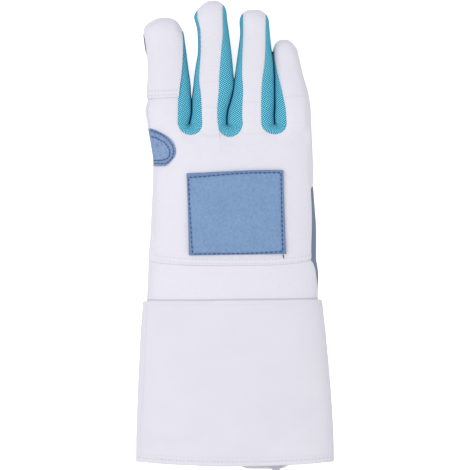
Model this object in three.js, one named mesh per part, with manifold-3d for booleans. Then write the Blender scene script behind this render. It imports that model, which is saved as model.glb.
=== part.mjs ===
// A right-hand fencing glove that lies palm down, fingers along +Y, the little finger at +X.
// Sizes are in millimetres, and the surface that it lies on is z = 0.
import * as THREE from "three";
import { mergeVertices } from "three/addons/utils/BufferGeometryUtils.js";
import Module from "manifold-3d";

const wasm = await Module();
wasm.setup();

// Lengths along the glove
const cuffLength = 124.2;
const wristLength = 30.7;
const handLength = 104.5;
const cuffInsert = 8;
const indexLength = 80.4;
const middleLength = 94.9;
const ringLength = 88;
const littleLength = 65;

// Widths of the glove lying flat
const indexWidth = 33;
const middleWidth = 28.3;
const ringWidth = 36.6;
const littleWidth = 27.2;
const wristWidth = 131;
const cuffHemWidth = 152.6;

// Heights above the surface
const handHeight = 40;
const palmArch = 14;
const cuffHemHeight = 34;
const knuckleHeight = 36;
const fingerThickness = 19.5;

// Walls and clearances
const backWall = 2.2;
const palmWall = 1.6;
const gussetWall = 1.3;
const bandWall = 1.8;
const cuffWall = 2.4;
const foldWall = 2.8;
const capWall = 1.2;
const patchWall = 1.2;
const thumbWall = 1.7;
const seamGap = 0.3;
const fingerGap = 0.9;

// Sewn-on pieces
const padWidth = 75;
const padLength = 65.5;
const padThickness = 3;
const patchLength = 29.2;
const patchReach = 21;
const tabWidth = 6.2;
const tabLength = 16;
const tabThickness = 1.4;
const tabStandOut = 5;
const hemSag = 3.5;
const backHemSag = 4.6;
const underLobe = 2;

// The thumb, folded under the palm
const thumbLength = 64;
const thumbWidth = 29;
const thumbThickness = 13.2;

// How round the sections are, and how far their undersides are pressed flat
const roundness = 2.4;
const pressed = 1.12;

const colours = {
  white: 0xe7e6f0,
  blue: 0x82a0cd,
  slate: 0x788cb9,
  turquoise: 0x46b4d7,
};

// The fingers. Each row of outline stands at a share of the finger's length. left and right are how far
// the finger keeps from its two boundary lines, and leftSeam and rightSeam how far the white back ends
// inside the finger's outline, all as shares of its width. tip is where across the width it ends.
const fingers = [
  {
    name: "index",
    length: indexLength,
    width: indexWidth,
    dome: 0.84,
    tip: 0.4,
    outline: [
      { at: 0, left: -0.033, right: 0, leftSeam: 0, rightSeam: 0.29 },
      { at: 0.125, left: -0.09, right: 0, leftSeam: 0, rightSeam: 0.285 },
      { at: 0.25, left: -0.01, right: 0, leftSeam: 0, rightSeam: 0.28 },
      { at: 0.33, left: 0.015, right: 0, leftSeam: 0, rightSeam: 0.265 },
      { at: 0.53, left: 0.04, right: 0.058, leftSeam: 0, rightSeam: 0.155 },
      { at: 0.72, left: 0, right: 0.118, leftSeam: 0, rightSeam: 0.08 },
      { at: 0.86, left: -0.045, right: 0.165, leftSeam: 0, rightSeam: 0.04 },
    ],
  },
  {
    name: "middle",
    length: middleLength,
    width: middleWidth,
    dome: 0.86,
    tip: 0.6,
    outline: [
      { at: 0, left: 0, right: 0, leftSeam: 0.275, rightSeam: 0.255 },
      { at: 0.235, left: 0.02, right: 0, leftSeam: 0.24, rightSeam: 0.365 },
      { at: 0.355, left: 0.08, right: 0, leftSeam: 0.135, rightSeam: 0.385 },
      { at: 0.45, left: 0.12, right: 0.02, leftSeam: 0.11, rightSeam: 0.345 },
      { at: 0.6, left: 0.19, right: 0.07, leftSeam: 0.065, rightSeam: 0.255 },
      { at: 0.74, left: 0.175, right: 0.13, leftSeam: 0.065, rightSeam: 0.15 },
      { at: 0.87, left: 0.08, right: 0.19, leftSeam: 0.08, rightSeam: 0.095 },
    ],
  },
  {
    name: "ring",
    length: ringLength,
    width: ringWidth,
    dome: 0.87,
    tip: 0.53,
    outline: [
      { at: 0, left: 0, right: 0, leftSeam: 0.3, rightSeam: 0.29 },
      { at: 0.22, left: 0, right: 0.01, leftSeam: 0.235, rightSeam: 0.28 },
      { at: 0.38, left: 0.015, right: 0.03, leftSeam: 0.165, rightSeam: 0.24 },
      { at: 0.505, left: 0.05, right: 0.045, leftSeam: 0.115, rightSeam: 0.18 },
      { at: 0.66, left: 0.1, right: 0.075, leftSeam: 0.075, rightSeam: 0.12 },
      { at: 0.8, left: 0.135, right: 0.11, leftSeam: 0.05, rightSeam: 0.085 },
      { at: 0.9, left: 0.11, right: 0.13, leftSeam: 0.05, rightSeam: 0.06 },
    ],
  },
  {
    name: "little",
    length: littleLength,
    width: littleWidth,
    dome: 0.82,
    tip: 0.27,
    outline: [
      { at: 0, left: 0, right: 0, leftSeam: 0.275, rightSeam: 0 },
      { at: 0.165, left: 0, right: 0.015, leftSeam: 0.3, rightSeam: 0 },
      { at: 0.295, left: 0, right: 0.05, leftSeam: 0.22, rightSeam: 0 },
      { at: 0.41, left: 0, right: 0.11, leftSeam: 0.17, rightSeam: 0 },
      { at: 0.61, left: -0.01, right: 0.25, leftSeam: 0.08, rightSeam: 0 },
      { at: 0.78, left: -0.05, right: 0.335, leftSeam: 0.04, rightSeam: 0 },
      { at: 0.88, left: -0.05, right: 0.4, leftSeam: 0.03, rightSeam: 0 },
    ],
  },
];

// How every finger comes down to the surface: its axis as a share of the way from the knuckles to the
// surface, and its half thickness as a share of the finger's
const fingerSlope = [
  { at: 0, drop: 0, thick: 0.56 },
  { at: 0.2, drop: 0.14, thick: 0.55 },
  { at: 0.4, drop: 0.36, thick: 0.53 },
  { at: 0.6, drop: 0.62, thick: 0.51 },
  { at: 0.8, drop: 0.89, thick: 0.5 },
  { at: 1, drop: 1, thick: 0.5 },
];

// The boundary line between middle and ring leans towards the little finger as it goes up.
const middleRingLean = 4.6;
const leanReach = 33;

// The hand from its hem to the finger roots. left and right are shares of the width at the finger roots,
// top is a share of the hand's height and bottom of the palm's arch; rightSeam is how far the palm leather
// comes up over the right side, as a share of palmRise.
const palmRise = 3.4;
const handSections = [
  { at: 0, left: -0.52, right: 0.513, top: 0.97, bottom: 0, rightSeam: 1 },
  { at: 0.2, left: -0.506, right: 0.513, top: 1, bottom: 0.05, rightSeam: 0.85 },
  { at: 0.4, left: -0.5, right: 0.503, top: 1.02, bottom: 0.45, rightSeam: 0.55 },
  { at: 0.55, left: -0.493, right: 0.494, top: 1.03, bottom: 0.82, rightSeam: 0 },
  { at: 0.7, left: -0.492, right: 0.494, top: 1.02, bottom: 0.96, rightSeam: 0 },
  { at: 0.85, left: -0.502, right: 0.489, top: 0.98, bottom: 1, rightSeam: 0 },
  { at: 1, left: -0.517, right: 0.483, top: 0.93, bottom: 1, rightSeam: 0 },
];

// The wrist from the hand's hem down into the cuff, as shares of the wrist's width and of the hand's height
const wristSections = [
  { at: 0.35, left: -0.511, right: 0.489, top: 0.95, rightSeam: 0.45 },
  { at: 0.75, left: -0.516, right: 0.488, top: 0.965, rightSeam: 0 },
  { at: 1, left: -0.517, right: 0.487, top: 0.975, rightSeam: 0 },
];

// The cuff from its upper edge to its hem: spread and fall are the shares of the way from the wrist's
// width and height to the hem's.
const cuffSections = [
  { at: 0, spread: 0, fall: 0 },
  { at: 0.08, spread: 0.12, fall: 0 },
  { at: 0.24, spread: 0.35, fall: 0.18 },
  { at: 0.4, spread: 0.55, fall: 0.42 },
  { at: 0.56, spread: 0.73, fall: 0.66 },
  { at: 0.72, spread: 0.87, fall: 0.84 },
  { at: 0.88, spread: 0.97, fall: 0.96 },
  { at: 1, spread: 1, fall: 1 },
];

// The half-round patch at the root of the thumb: how far it reaches in from the side, from its upper
// corner to its lower edge
const patchOutline = [
  { at: 0, reach: 0.06 },
  { at: 0.12, reach: 0.32 },
  { at: 0.28, reach: 0.66 },
  { at: 0.46, reach: 0.9 },
  { at: 0.66, reach: 1 },
  { at: 0.84, reach: 0.93 },
  { at: 0.95, reach: 0.78 },
  { at: 1, reach: 0.6 },
];

// The thumb from its root to its tip: where its axis stands and how wide it is, as shares of its width
const thumbSections = [
  { at: 0, across: -0.34, width: 0.98 },
  { at: 0.15, across: -0.3, width: 1 },
  { at: 0.4, across: -0.16, width: 0.96 },
  { at: 0.65, across: 0, width: 0.9 },
  { at: 0.82, across: 0.1, width: 0.84 },
  { at: 0.92, across: 0.16, width: 0.66 },
  { at: 0.98, across: 0.19, width: 0.38 },
  { at: 1, across: 0.2, width: 0.16 },
];
const thumbAxis = -32;
const thumbRootPlace = 0.17;
const thumbHollowStart = 4;
const thumbWidest = 0.47;

const palmWidth = indexWidth + middleWidth + ringWidth + littleWidth;
const palmAxis = -1.7;
const liningHeight = foldWall + seamGap;
const rootY = handLength;
const cuffTopY = -wristLength;
const cuffHemY = cuffTopY - cuffLength;

// How finely the pieces are divided
const acrossFinger = 4;
const roundRoot = 6;
const acrossGusset = 5;
const aroundCuff = 40;
const domeSteps = [0.35, 0.62, 0.82, 0.94, 1];
const fingerSteps = [0, 0.13, 0.26, 0.4, 0.54, 0.68, 0.8];
const gussetEnd = 0.66;

// How blunt and how round the fingertips are, how far they turn to their side, and how high they rest
const tipBlunt = 0.97;
const tipRound = 2.3;
const tipTurn = 0.8;
const tipRest = 0.44;

// Where a section is widest, as a share of its height
const widest = 0.45;

function smooth(x) {
  const t = Math.min(1, Math.max(0, x));
  return t * t * (3 - 2 * t);
}

function mix(a, b, t) {
  return a + (b - a) * t;
}

// A value of a table at a place between its rows, joined by a smooth curve through the rows.
function read(rows, at, column) {
  if (at <= rows[0].at) return rows[0][column];
  const last = rows.length - 1;
  if (at >= rows[last].at) return rows[last][column];
  const i = rows.findIndex((row, k) => k < last && at < rows[k + 1].at);
  const [a, b] = [rows[i], rows[i + 1]];
  const slope = (p, q) => (q[column] - p[column]) / (q.at - p.at);
  const here = slope(a, b);
  const before = i > 0 ? slope(rows[i - 1], a) : here;
  const after = i + 2 <= last ? slope(b, rows[i + 2]) : here;
  const start = before * here > 0 ? (2 * before * here) / (before + here) : 0;
  const end = after * here > 0 ? (2 * after * here) / (after + here) : 0;
  const step = b.at - a.at;
  const t = (at - a.at) / step;
  return (
    a[column] * (1 + 2 * t) * (1 - t) ** 2 +
    b[column] * t * t * (3 - 2 * t) +
    step * (start * t * (1 - t) ** 2 - end * t * t * (1 - t))
  );
}

function power(x, exponent) {
  return Math.sign(x) * Math.abs(x) ** exponent;
}

// A point of a section at an angle counted from the right side over the top. inset moves it inwards.
function sectionPoint(s, angle, inset = 0) {
  const across = power(Math.cos(angle), 2 / roundness);
  const up = power(Math.sin(angle), 2 / roundness);
  const half = (s.right - s.left) / 2 - inset;
  const x = (s.left + s.right) / 2 + half * across;
  const bottom = s.bottom + inset;
  if (up >= 0) return [x, s.mid + (s.top - inset - s.mid) * up];
  return [x, Math.max(bottom, s.mid + (s.mid - bottom) * pressed * up)];
}

// Points along a section between two angles, at the given shares of the way along it.
function arc(s, from, to, shares) {
  const fine = 160;
  const points = [];
  const length = [0];
  for (let i = 0; i <= fine; i++) {
    points.push(sectionPoint(s, mix(from, to, i / fine)));
    if (i > 0) {
      const [p, q] = [points[i - 1], points[i]];
      length.push(length[i - 1] + Math.hypot(q[0] - p[0], q[1] - p[1]));
    }
  }
  return shares.map((share) => {
    const wanted = share * length[fine];
    let i = length.findIndex((l, k) => k > 0 && l >= wanted);
    if (i < 1) i = share > 0.5 ? fine : 1;
    const t = (wanted - length[i - 1]) / (length[i] - length[i - 1] || 1);
    const [p, q] = [points[i - 1], points[i]];
    return [mix(p[0], q[0], t), mix(p[1], q[1], t)];
  });
}

function evenShares(count) {
  return Array.from({ length: count + 1 }, (unused, i) => i / count);
}

// Where the boundary line on a finger's left stands at the roots, counted from the glove's middle.
function boundary(index) {
  const before = fingers.slice(0, index).reduce((sum, f) => sum + f.width, 0);
  return palmAxis - 0.517 * palmWidth + before;
}

function lean(index, along) {
  return index === 2 ? middleRingLean * smooth(along / leanReach) : 0;
}

const ringDome = fingers[2].dome;

// The stations of a finger: places along its length, with the share of its rounded end.
function stations(f) {
  const straight = fingerSteps.map((at) => ({ at: at * (f.dome / ringDome), end: 0 }));
  const round = domeSteps.map((end) => ({ at: mix(f.dome, 1, end), end }));
  return [...straight, { at: f.dome, end: 0 }, ...round];
}

// The section of a finger at a station.
function fingerSection(index, station) {
  const f = fingers[index];
  const along = station.at * f.length;
  const at = Math.min(station.at, f.dome);
  const keep = fingerGap / 2;
  let left = boundary(index) + lean(index, along) + read(f.outline, at, "left") * f.width;
  let right = boundary(index + 1) + lean(index + 1, along) - read(f.outline, at, "right") * f.width;
  left += index > 0 ? keep : 0;
  right -= index < 3 ? keep : 0;
  const narrow = (1 - (tipBlunt * station.end) ** tipRound) ** (1 / tipRound);
  const tipX = boundary(index) + f.tip * f.width;
  const middle = mix((left + right) / 2, tipX, smooth(station.end) * tipTurn);
  const half = ((right - left) / 2) * narrow;
  const tipRise = fingerThickness * tipRest;
  const start = knuckleHeight - fingerThickness * fingerSlope[0].thick;
  const axis = mix(start, tipRise, read(fingerSlope, station.at, "drop"));
  const flatten = Math.sqrt(Math.max(0, 1 - station.end ** 2));
  const thick = fingerThickness * read(fingerSlope, station.at, "thick") * flatten;
  return {
    left: middle - half,
    right: middle + half,
    top: axis + thick,
    bottom: Math.max(0, axis - thick),
    mid: axis,
    y: rootY + along,
  };
}

// The angle of the seam between the white back (or the palm) and the gusset of a finger.
function seamAngle(index, station, side, share = 1) {
  const f = fingers[index];
  const at = Math.min(station.at, f.dome);
  const inset = read(f.outline, at, side) * f.width * share;
  if (inset === 0) return 0;
  const s = fingerSection(index, { at, end: 0 });
  const half = (s.right - s.left) / 2;
  const angle = Math.acos((1 - inset / half) ** (roundness / 2));
  return angle * Math.max(0, 1 - station.end / gussetEnd);
}

const palmSeamShare = 0.5;

// The four arcs of a finger's section, as lists of [x, y, z].
function fingerArc(index, station, part) {
  const s = fingerSection(index, station);
  const upLeft = Math.PI - seamAngle(index, station, "leftSeam");
  const upRight = seamAngle(index, station, "rightSeam");
  const downLeft = Math.PI + seamAngle(index, station, "leftSeam", palmSeamShare);
  const downRight = 2 * Math.PI - seamAngle(index, station, "rightSeam", palmSeamShare);
  const arcs = {
    back: [upLeft, upRight, acrossFinger],
    palm: [downLeft, downRight, acrossFinger],
    leftSide: [upLeft, downLeft, acrossGusset],
    rightSide: [upRight, downRight - 2 * Math.PI, acrossGusset],
  };
  const [from, to, count] = arcs[part];
  return arc(s, from, to, evenShares(count)).map(([x, z]) => [x, s.y, z]);
}

const root = { at: 0, end: 0 };

// The rounded bottom between two fingers: rings of points round the line where the fingers part, from the
// left finger to the right one. across counts from the back seam to the palm seam.
function rootRing(index, across) {
  const centre = boundary(index + 1);
  const a = fingerArc(index, root, "rightSide")[across];
  const b = fingerArc(index + 1, root, "leftSide")[across];
  return evenShares(roundRoot).map((t) => {
    const away = mix(centre - a[0], b[0] - centre, t);
    const turn = Math.PI * t;
    return [
      centre - away * Math.cos(turn),
      rootY - away * Math.sin(turn),
      mix(a[2], b[2], t),
    ];
  });
}

// The row of points along the finger roots, on the back or on the palm.
function rootRow(part) {
  const row = [];
  const across = part === "back" ? 0 : acrossGusset;
  fingers.forEach((f, i) => {
    const points = fingerArc(i, root, part);
    row.push(...(i > 0 ? points.slice(1) : points));
    if (i < 3) row.push(...rootRing(i, across).slice(1));
  });
  return row;
}

// The share of the way across at which each column of a root row stands, counting straight over the gaps.
function columnShares(part) {
  const row = rootRow(part);
  const length = [0];
  for (let j = 1; j < row.length; j++) {
    const [p, q] = [row[j - 1], row[j]];
    length.push(length[j - 1] + Math.hypot(q[0] - p[0], q[2] - p[2]));
  }
  return length.map((l) => l / length[length.length - 1]);
}

// The whole length of the hand and wrist in one table, with places and sizes in millimetres.
function bodyRows() {
  const hand = handSections.map((row) => ({
    at: row.at * handLength,
    left: palmAxis + row.left * palmWidth,
    right: palmAxis + row.right * palmWidth,
    top: row.top * handHeight,
    bottom: mix(liningHeight, palmArch, row.bottom),
    rightSeam: row.rightSeam * palmRise,
  }));
  const wrist = wristSections.map((row) => ({
    at: -row.at * wristLength,
    left: row.left * wristWidth,
    right: row.right * wristWidth,
    top: row.top * handHeight,
    bottom: liningHeight,
    rightSeam: row.rightSeam * palmRise,
  }));
  const end = { ...wrist[wrist.length - 1], at: cuffTopY - cuffInsert };
  return [end, ...wrist.reverse(), ...hand];
}

const body = bodyRows();

function bodySection(y) {
  const value = (column) => read(body, y, column);
  const s = {
    left: value("left"),
    right: value("right"),
    top: value("top"),
    bottom: value("bottom"),
    rightSeam: value("rightSeam"),
    y,
  };
  s.mid = mix(s.bottom, s.top, widest);
  return s;
}

function bodySeam(s) {
  if (s.rightSeam <= 0) return 0;
  return Math.acos((1 - s.rightSeam / ((s.right - s.left) / 2)) ** (roundness / 2));
}

// A row of the hand or wrist at y, at the given shares across.
function bodyRow(y, part, shares) {
  const s = bodySection(y);
  const seam = bodySeam(s);
  const to = part === "back" ? seam : 2 * Math.PI + seam;
  return arc(s, Math.PI, to, shares).map(([x, z]) => [x, y, z]);
}

// The hand's surface runs into the finger roots over this length.
const rootBlend = 32;
const handSteps = [0, 0.1, 0.22, 0.34, 0.46, 0.58, 0.7, 0.8, 0.88, 0.94];

function handRow(y, part, shares) {
  const plain = bodyRow(y, part, shares);
  const weight = smooth((y - rootY + rootBlend) / rootBlend);
  if (weight === 0) return plain;
  const wanted = rootRow(part);
  const straight = bodyRow(rootY, part, shares);
  return plain.map((p, j) => p.map((v, k) => v + weight * (wanted[j][k] - straight[j][k])));
}

// Which columns of a sheet belong to a finger, and which to the gap after it.
const fingerStride = acrossFinger + roundRoot;

function inFinger(column) {
  return column % fingerStride < acrossFinger;
}

// The sheet of the back or of the palm: rows from its lower edge to the fingertips.
function panelRows(part, firstRows) {
  const shares = columnShares(part);
  const rows = firstRows.map((y) => bodyRow(y, part, shares));
  handSteps.forEach((at) => rows.push(handRow(at * handLength, part, shares)));
  const rootIndex = rows.length;
  const steps = fingers.map((f) => stations(f));
  steps[0].forEach((unused, k) => {
    const row = [];
    fingers.forEach((f, i) => {
      const points = fingerArc(i, steps[i][k], part);
      row.push(...(i > 0 ? points.slice(1) : points));
      if (i < 3) row.push(...rootRing(i, part === "back" ? 0 : acrossGusset).slice(1));
    });
    // Above the roots the last point of each gap is the next finger's first point.
    for (let i = 1; i < 4; i++) row[i * fingerStride] = fingerArc(i, steps[i][k], part)[0];
    rows.push(row);
  });
  return { rows, rootIndex };
}

function panelKeep(rootIndex) {
  return (i, j) => i < rootIndex || inFinger(j);
}

// Normals, added up over all sheets that share a point, so that sheets meet edge to edge at a seam.
const skin = new Map();

function keyOf(p) {
  return p.map((v) => Math.round(v * 200)).join(",");
}

function everyCell(grid, keep, wrap) {
  const cells = [];
  const columns = grid[0].length;
  for (let i = 0; i + 1 < grid.length; i++)
    for (let j = 0; j < (wrap ? columns : columns - 1); j++)
      if (keep(i, j)) cells.push([i, j, (j + 1) % columns]);
  return cells;
}

function gather(grid, keep) {
  for (const [i, j, k] of everyCell(grid, keep)) {
    const corners = [grid[i][j], grid[i][k], grid[i + 1][k], grid[i + 1][j]];
    const [a, b, c, d] = corners.map((p) => new THREE.Vector3(...p));
    const normal = c.clone().sub(a).cross(d.clone().sub(b));
    for (const p of corners) {
      if (!skin.has(keyOf(p))) skin.set(keyOf(p), new THREE.Vector3());
      skin.get(keyOf(p)).add(normal);
    }
  }
}

// The way inwards at a point: level where the surface is steep, straight up or down where it lies flat.
const steepTilt = 0.6;
const flatTilt = 0.97;

function inwards(p) {
  const n = (skin.get(keyOf(p)) || new THREE.Vector3(0, 0, 1)).clone().normalize();
  const steep = smooth((flatTilt - Math.abs(n.z)) / (flatTilt - steepTilt));
  return new THREE.Vector3(-n.x * steep, -n.y * steep, -n.z * (1 - steep)).normalize();
}

function shifted(grid, distance) {
  return grid.map((row) =>
    row.map((p) => {
      const way = inwards(p);
      return [p[0] + way.x * distance, p[1] + way.y * distance, p[2] + way.z * distance];
    }),
  );
}

// No edge is drawn back by more than this share of the way to the next row.
const mostDrawn = 0.45;

// Draws the free edges of a sheet back from the seam, along the sheet. distance may differ by row.
function drawnBack(grid, keep, distance) {
  const cells = everyCell(grid, keep);
  const has = new Set(cells.map(([i, j]) => i + "," + j));
  const pull = new Map();
  const add = (i, j, toI, toJ, kind) => {
    const key = i + "," + j;
    if (!pull.has(key)) pull.set(key, { row: [], column: [] });
    pull.get(key)[kind].push([toI, toJ]);
  };
  for (const [i, j, k] of cells) {
    if (!has.has(i - 1 + "," + j)) [j, k].forEach((c) => add(i, c, i + 1, c, "row"));
    if (!has.has(i + 1 + "," + j)) [j, k].forEach((c) => add(i + 1, c, i, c, "row"));
    if (!has.has(i + "," + (j - 1))) [i, i + 1].forEach((r) => add(r, j, r, k, "column"));
    if (!has.has(i + "," + k)) [i, i + 1].forEach((r) => add(r, k, r, j, "column"));
  }
  const moved = grid.map((row) => row.map((p) => [...p]));
  for (const [key, ways] of pull) {
    const [i, j] = key.split(",").map(Number);
    for (const kind of ["row", "column"]) {
      const total = new THREE.Vector3();
      for (const [r, c] of ways[kind])
        total.add(new THREE.Vector3(...grid[r][c]).sub(new THREE.Vector3(...grid[i][j])));
      if (total.length() === 0) continue;
      total.divideScalar(ways[kind].length);
      total.setLength(Math.min(distance(i), mostDrawn * total.length()));
      total.toArray().forEach((v, axis) => {
        moved[i][j][axis] += v;
      });
    }
  }
  return moved;
}

function far(p, q) {
  return Math.hypot(p[0] - q[0], p[1] - q[1], p[2] - q[2]);
}

// The point one millimetre from p towards q
function unitInto(p, q) {
  const length = far(p, q);
  return p.map((v, k) => v + (q[k] - v) / length);
}

// A closed solid between two grids of the same size, over the cells that are kept. Each wall along an edge
// is split at its shorter diagonal, so that the walls on both sides of a seam are split alike.
function between(outer, inner, keep = () => true, wrap = false) {
  const columns = outer[0].length;
  const cells = everyCell(outer, keep, wrap);
  const has = new Set(cells.map(([i, j]) => i + "," + j));
  const positions = [];
  const at = (grid, i, j) => grid[i][j];
  const triangle = (...points) => points.forEach((p) => positions.push(...p));
  const quad = (a, b, c, d) => {
    triangle(a, b, c);
    triangle(a, c, d);
  };
  for (const [i, j, k] of cells) {
    const above = i + 1;
    quad(at(outer, i, j), at(outer, i, k), at(outer, above, k), at(outer, above, j));
    quad(at(inner, i, k), at(inner, i, j), at(inner, above, j), at(inner, above, k));
    const wall = (r, c, s, d) => {
      const corners = [at(outer, s, d), at(outer, r, c), at(inner, r, c), at(inner, s, d)];
      const [from, to] = [at(outer, r, c), at(outer, s, d)];
      const across = far(from, unitInto(to, at(inner, s, d)));
      if (across < far(to, unitInto(from, at(inner, r, c)))) corners.push(corners.shift());
      quad(...corners);
    };
    const left = wrap ? (j + columns - 1) % columns : j - 1;
    const right = wrap ? (j + 1) % columns : j + 1;
    if (!has.has(i - 1 + "," + j)) wall(i, j, i, k);
    if (!has.has(i + 1 + "," + j)) wall(above, k, above, j);
    if (!has.has(i + "," + left)) wall(above, j, i, j);
    if (!has.has(i + "," + right)) wall(i, k, above, k);
  }
  const geometry = new THREE.BufferGeometry();
  geometry.setAttribute("position", new THREE.Float32BufferAttribute(positions, 3));
  return facingOut(mergeVertices(geometry, 1e-4));
}

function facingOut(geometry) {
  const p = geometry.attributes.position;
  const index = geometry.index.array;
  const corner = (k) => new THREE.Vector3().fromBufferAttribute(p, index[k]);
  let volume = 0;
  for (let k = 0; k < index.length; k += 3)
    volume += corner(k).dot(corner(k + 1).cross(corner(k + 2)));
  if (volume < 0)
    for (let k = 0; k < index.length; k += 3)
      [index[k + 1], index[k + 2]] = [index[k + 2], index[k + 1]];
  return geometry;
}

function toSolid(geometry) {
  const plain = geometry.index ? geometry.clone() : geometry;
  plain.deleteAttribute("normal");
  plain.deleteAttribute("uv");
  const merged = mergeVertices(plain, 1e-4);
  return new wasm.Manifold(
    new wasm.Mesh({
      numProp: 3,
      vertProperties: merged.attributes.position.array,
      triVerts: new Uint32Array(merged.index.array),
    }),
  );
}

function toGeometry(solid) {
  const mesh = solid.getMesh();
  const geometry = new THREE.BufferGeometry();
  geometry.setAttribute("position", new THREE.BufferAttribute(mesh.vertProperties, 3));
  geometry.setIndex(new THREE.BufferAttribute(mesh.triVerts, 1));
  return geometry;
}

const glove = new THREE.Group();
glove.name = "fencing_glove";

function piece(name, geometry, colour, roughness = 0.85) {
  const flat = geometry.index ? geometry.toNonIndexed() : geometry;
  flat.computeVertexNormals();
  const material = new THREE.MeshStandardMaterial({ color: colour, roughness, metalness: 0 });
  const mesh = new THREE.Mesh(flat, material);
  mesh.name = name;
  glove.add(mesh);
}

function mirrored(grid) {
  return grid.map((row) => [...row].reverse());
}

// Outer surfaces of the back, the palm, the gussets between the fingers and the wrist band
const back = panelRows("back", []);
const backKeep = panelKeep(back.rootIndex);

const wristPlaces = [cuffTopY - cuffInsert, cuffTopY, -0.72 * wristLength, -0.36 * wristLength];
const palm = panelRows("palm", wristPlaces);
const palmColumns = palm.rows[0].length - 1;
const palmGrid = mirrored(palm.rows);
const palmKeep = (i, j) => panelKeep(palm.rootIndex)(i, palmColumns - 1 - j);

// The hem of the back hangs lower in its middle.
function sagAt(share) {
  return backHemSag * (1 - Math.abs(2 * share - 1) ** 3);
}

const backShares = columnShares("back");
back.rows.slice(0, 1).forEach((row) =>
  row.forEach((p, j) => {
    const y = -sagAt(backShares[j]);
    const moved = bodyRow(y, "back", backShares)[j];
    [p[0], p[1], p[2]] = moved;
  }),
);

function gussetGrid(index) {
  const sideRows = (finger, side) => {
    const all = stations(fingers[finger]).filter((station) => station.end < gussetEnd);
    return all.map((station) => fingerArc(finger, station, side));
  };
  const right = sideRows(index + 1, "leftSide").reverse();
  const left = sideRows(index, "rightSide");
  const rings = Array.from({ length: acrossGusset + 1 }, (unused, r) => rootRing(index, r));
  const round = [];
  for (let k = roundRoot - 1; k > 0; k--) round.push(rings.map((ring) => ring[k]));
  return [...right, ...round, ...left];
}

const gussets = [0, 1, 2].map((index) => ({
  name: `fourchette_${fingers[index].name}_${fingers[index + 1].name}`,
  grid: gussetGrid(index),
}));

const bandPlaces = [...wristPlaces];
const bandGrid = bandPlaces.map((y) => bodyRow(y, "back", backShares));
bandGrid.push(back.rows[0].map((p) => [...p]));

const always = () => true;
gather(back.rows, backKeep);
gather(palmGrid, palmKeep);
gather(bandGrid, always);
gussets.forEach((g) => gather(g.grid, always));

const halfGap = () => seamGap / 2;

function sheet(grid, keep, wall, distance = halfGap) {
  const draw = (g) => drawnBack(g, keep, distance);
  return between(draw(grid), draw(shifted(grid, wall)), keep);
}

piece("back_panel", sheet(back.rows, backKeep, backWall), colours.white);
// A gusset keeps a little more clearance at its pointed ends.
const pointedRows = 4;
gussets.forEach((g) => {
  const last = g.grid.length - 1;
  const distance = (i) => (Math.min(i, last - i) < pointedRows ? 2 * seamGap : seamGap / 2);
  piece(g.name, sheet(g.grid, always, gussetWall, distance), colours.turquoise, 0.9);
});
piece("wrist_band", sheet(bandGrid, always, bandWall), colours.white);

// The cap over the tip of the index finger
const capFrom = back.rootIndex + 2;
const capRows = back.rows.slice(capFrom).map((row) => row.slice(0, acrossFinger + 1));
const capOuter = drawnBack(shifted(capRows, -seamGap - capWall), always, halfGap);
const capInner = drawnBack(shifted(capRows, -seamGap), always, halfGap);
piece("index_cap", between(capOuter, capInner), colours.white);

// The height of the back over a place in the middle of the hand
function backHeight(x, y) {
  const s = bodySection(y);
  const half = (s.right - s.left) / 2;
  const across = Math.min(1, Math.abs(x - (s.left + s.right) / 2) / half);
  return s.mid + (s.top - s.mid) * (1 - across ** roundness) ** (1 / roundness);
}

// The pad sewn on the back of the hand
const padMiddle = 0.347;
const padAcross = 2.8;
const padTurn = 0.03;
const padCells = 8;
const padRim = 0.55;

function padGrid(lift) {
  return evenShares(padCells).map((v) =>
    evenShares(padCells).map((u) => {
      const [p, q] = [(u - 0.5) * padWidth, (v - 0.5) * padLength];
      const x = palmAxis + padAcross + p - padTurn * q;
      const y = padMiddle * handLength + q + padTurn * p;
      const edge = Math.min(u, 1 - u, v, 1 - v) === 0 ? padRim : 1;
      return [x, y, backHeight(x, y) + seamGap + lift * edge];
    }),
  );
}

piece("back_pad", between(padGrid(padThickness), padGrid(0)), colours.blue, 0.7);

// The patch at the root of the thumb, laid over the left side of the back
const patchEnd = 0.965;
const patchInset = 2.4;
const patchCells = 6;

function patchPoint(at, share) {
  const y = patchEnd * handLength - at * patchLength;
  const reach = read(patchOutline, at, "reach") * patchReach;
  const row = handRow(y, "back", backShares);
  const length = [0];
  for (let j = 1; j < row.length; j++)
    length.push(length[j - 1] + Math.hypot(...row[j].map((v, k) => v - row[j - 1][k])));
  const wanted = share * reach + patchInset;
  const j = length.findIndex((l) => l > wanted);
  const t = (wanted - length[j - 1]) / (length[j] - length[j - 1]);
  return row[j].map((v, k) => mix(row[j - 1][k], v, t));
}

const patchSteps = [0, 0.08, 0.18, 0.3, 0.42, 0.55, 0.68, 0.8, 0.9, 1];
const patchGrid = patchSteps.map((at) => evenShares(patchCells).map((share) => patchPoint(at, share))).reverse();
gather(patchGrid, always);
const patchLift = 3 * seamGap;
const patchOuter = shifted(patchGrid, -patchLift - patchWall);
piece("web_patch", between(patchOuter, shifted(patchGrid, -patchLift)), colours.blue, 0.7);

// The cuff: a flared tube with a thicker folded upper edge, pressed flat underneath
function cuffSection(at) {
  const spread = read(cuffSections, at, "spread");
  const fall = read(cuffSections, at, "fall");
  const wrist = bodySection(cuffTopY);
  const grow = foldWall + seamGap;
  const s = {
    left: mix(wrist.left - grow, -cuffHemWidth / 2, spread),
    right: mix(wrist.right + grow, cuffHemWidth / 2, spread),
    top: mix(wrist.top + grow, cuffHemHeight, fall),
    bottom: 0,
  };
  s.mid = mix(wrist.mid, cuffHemHeight * widest, fall);
  return s;
}

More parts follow.
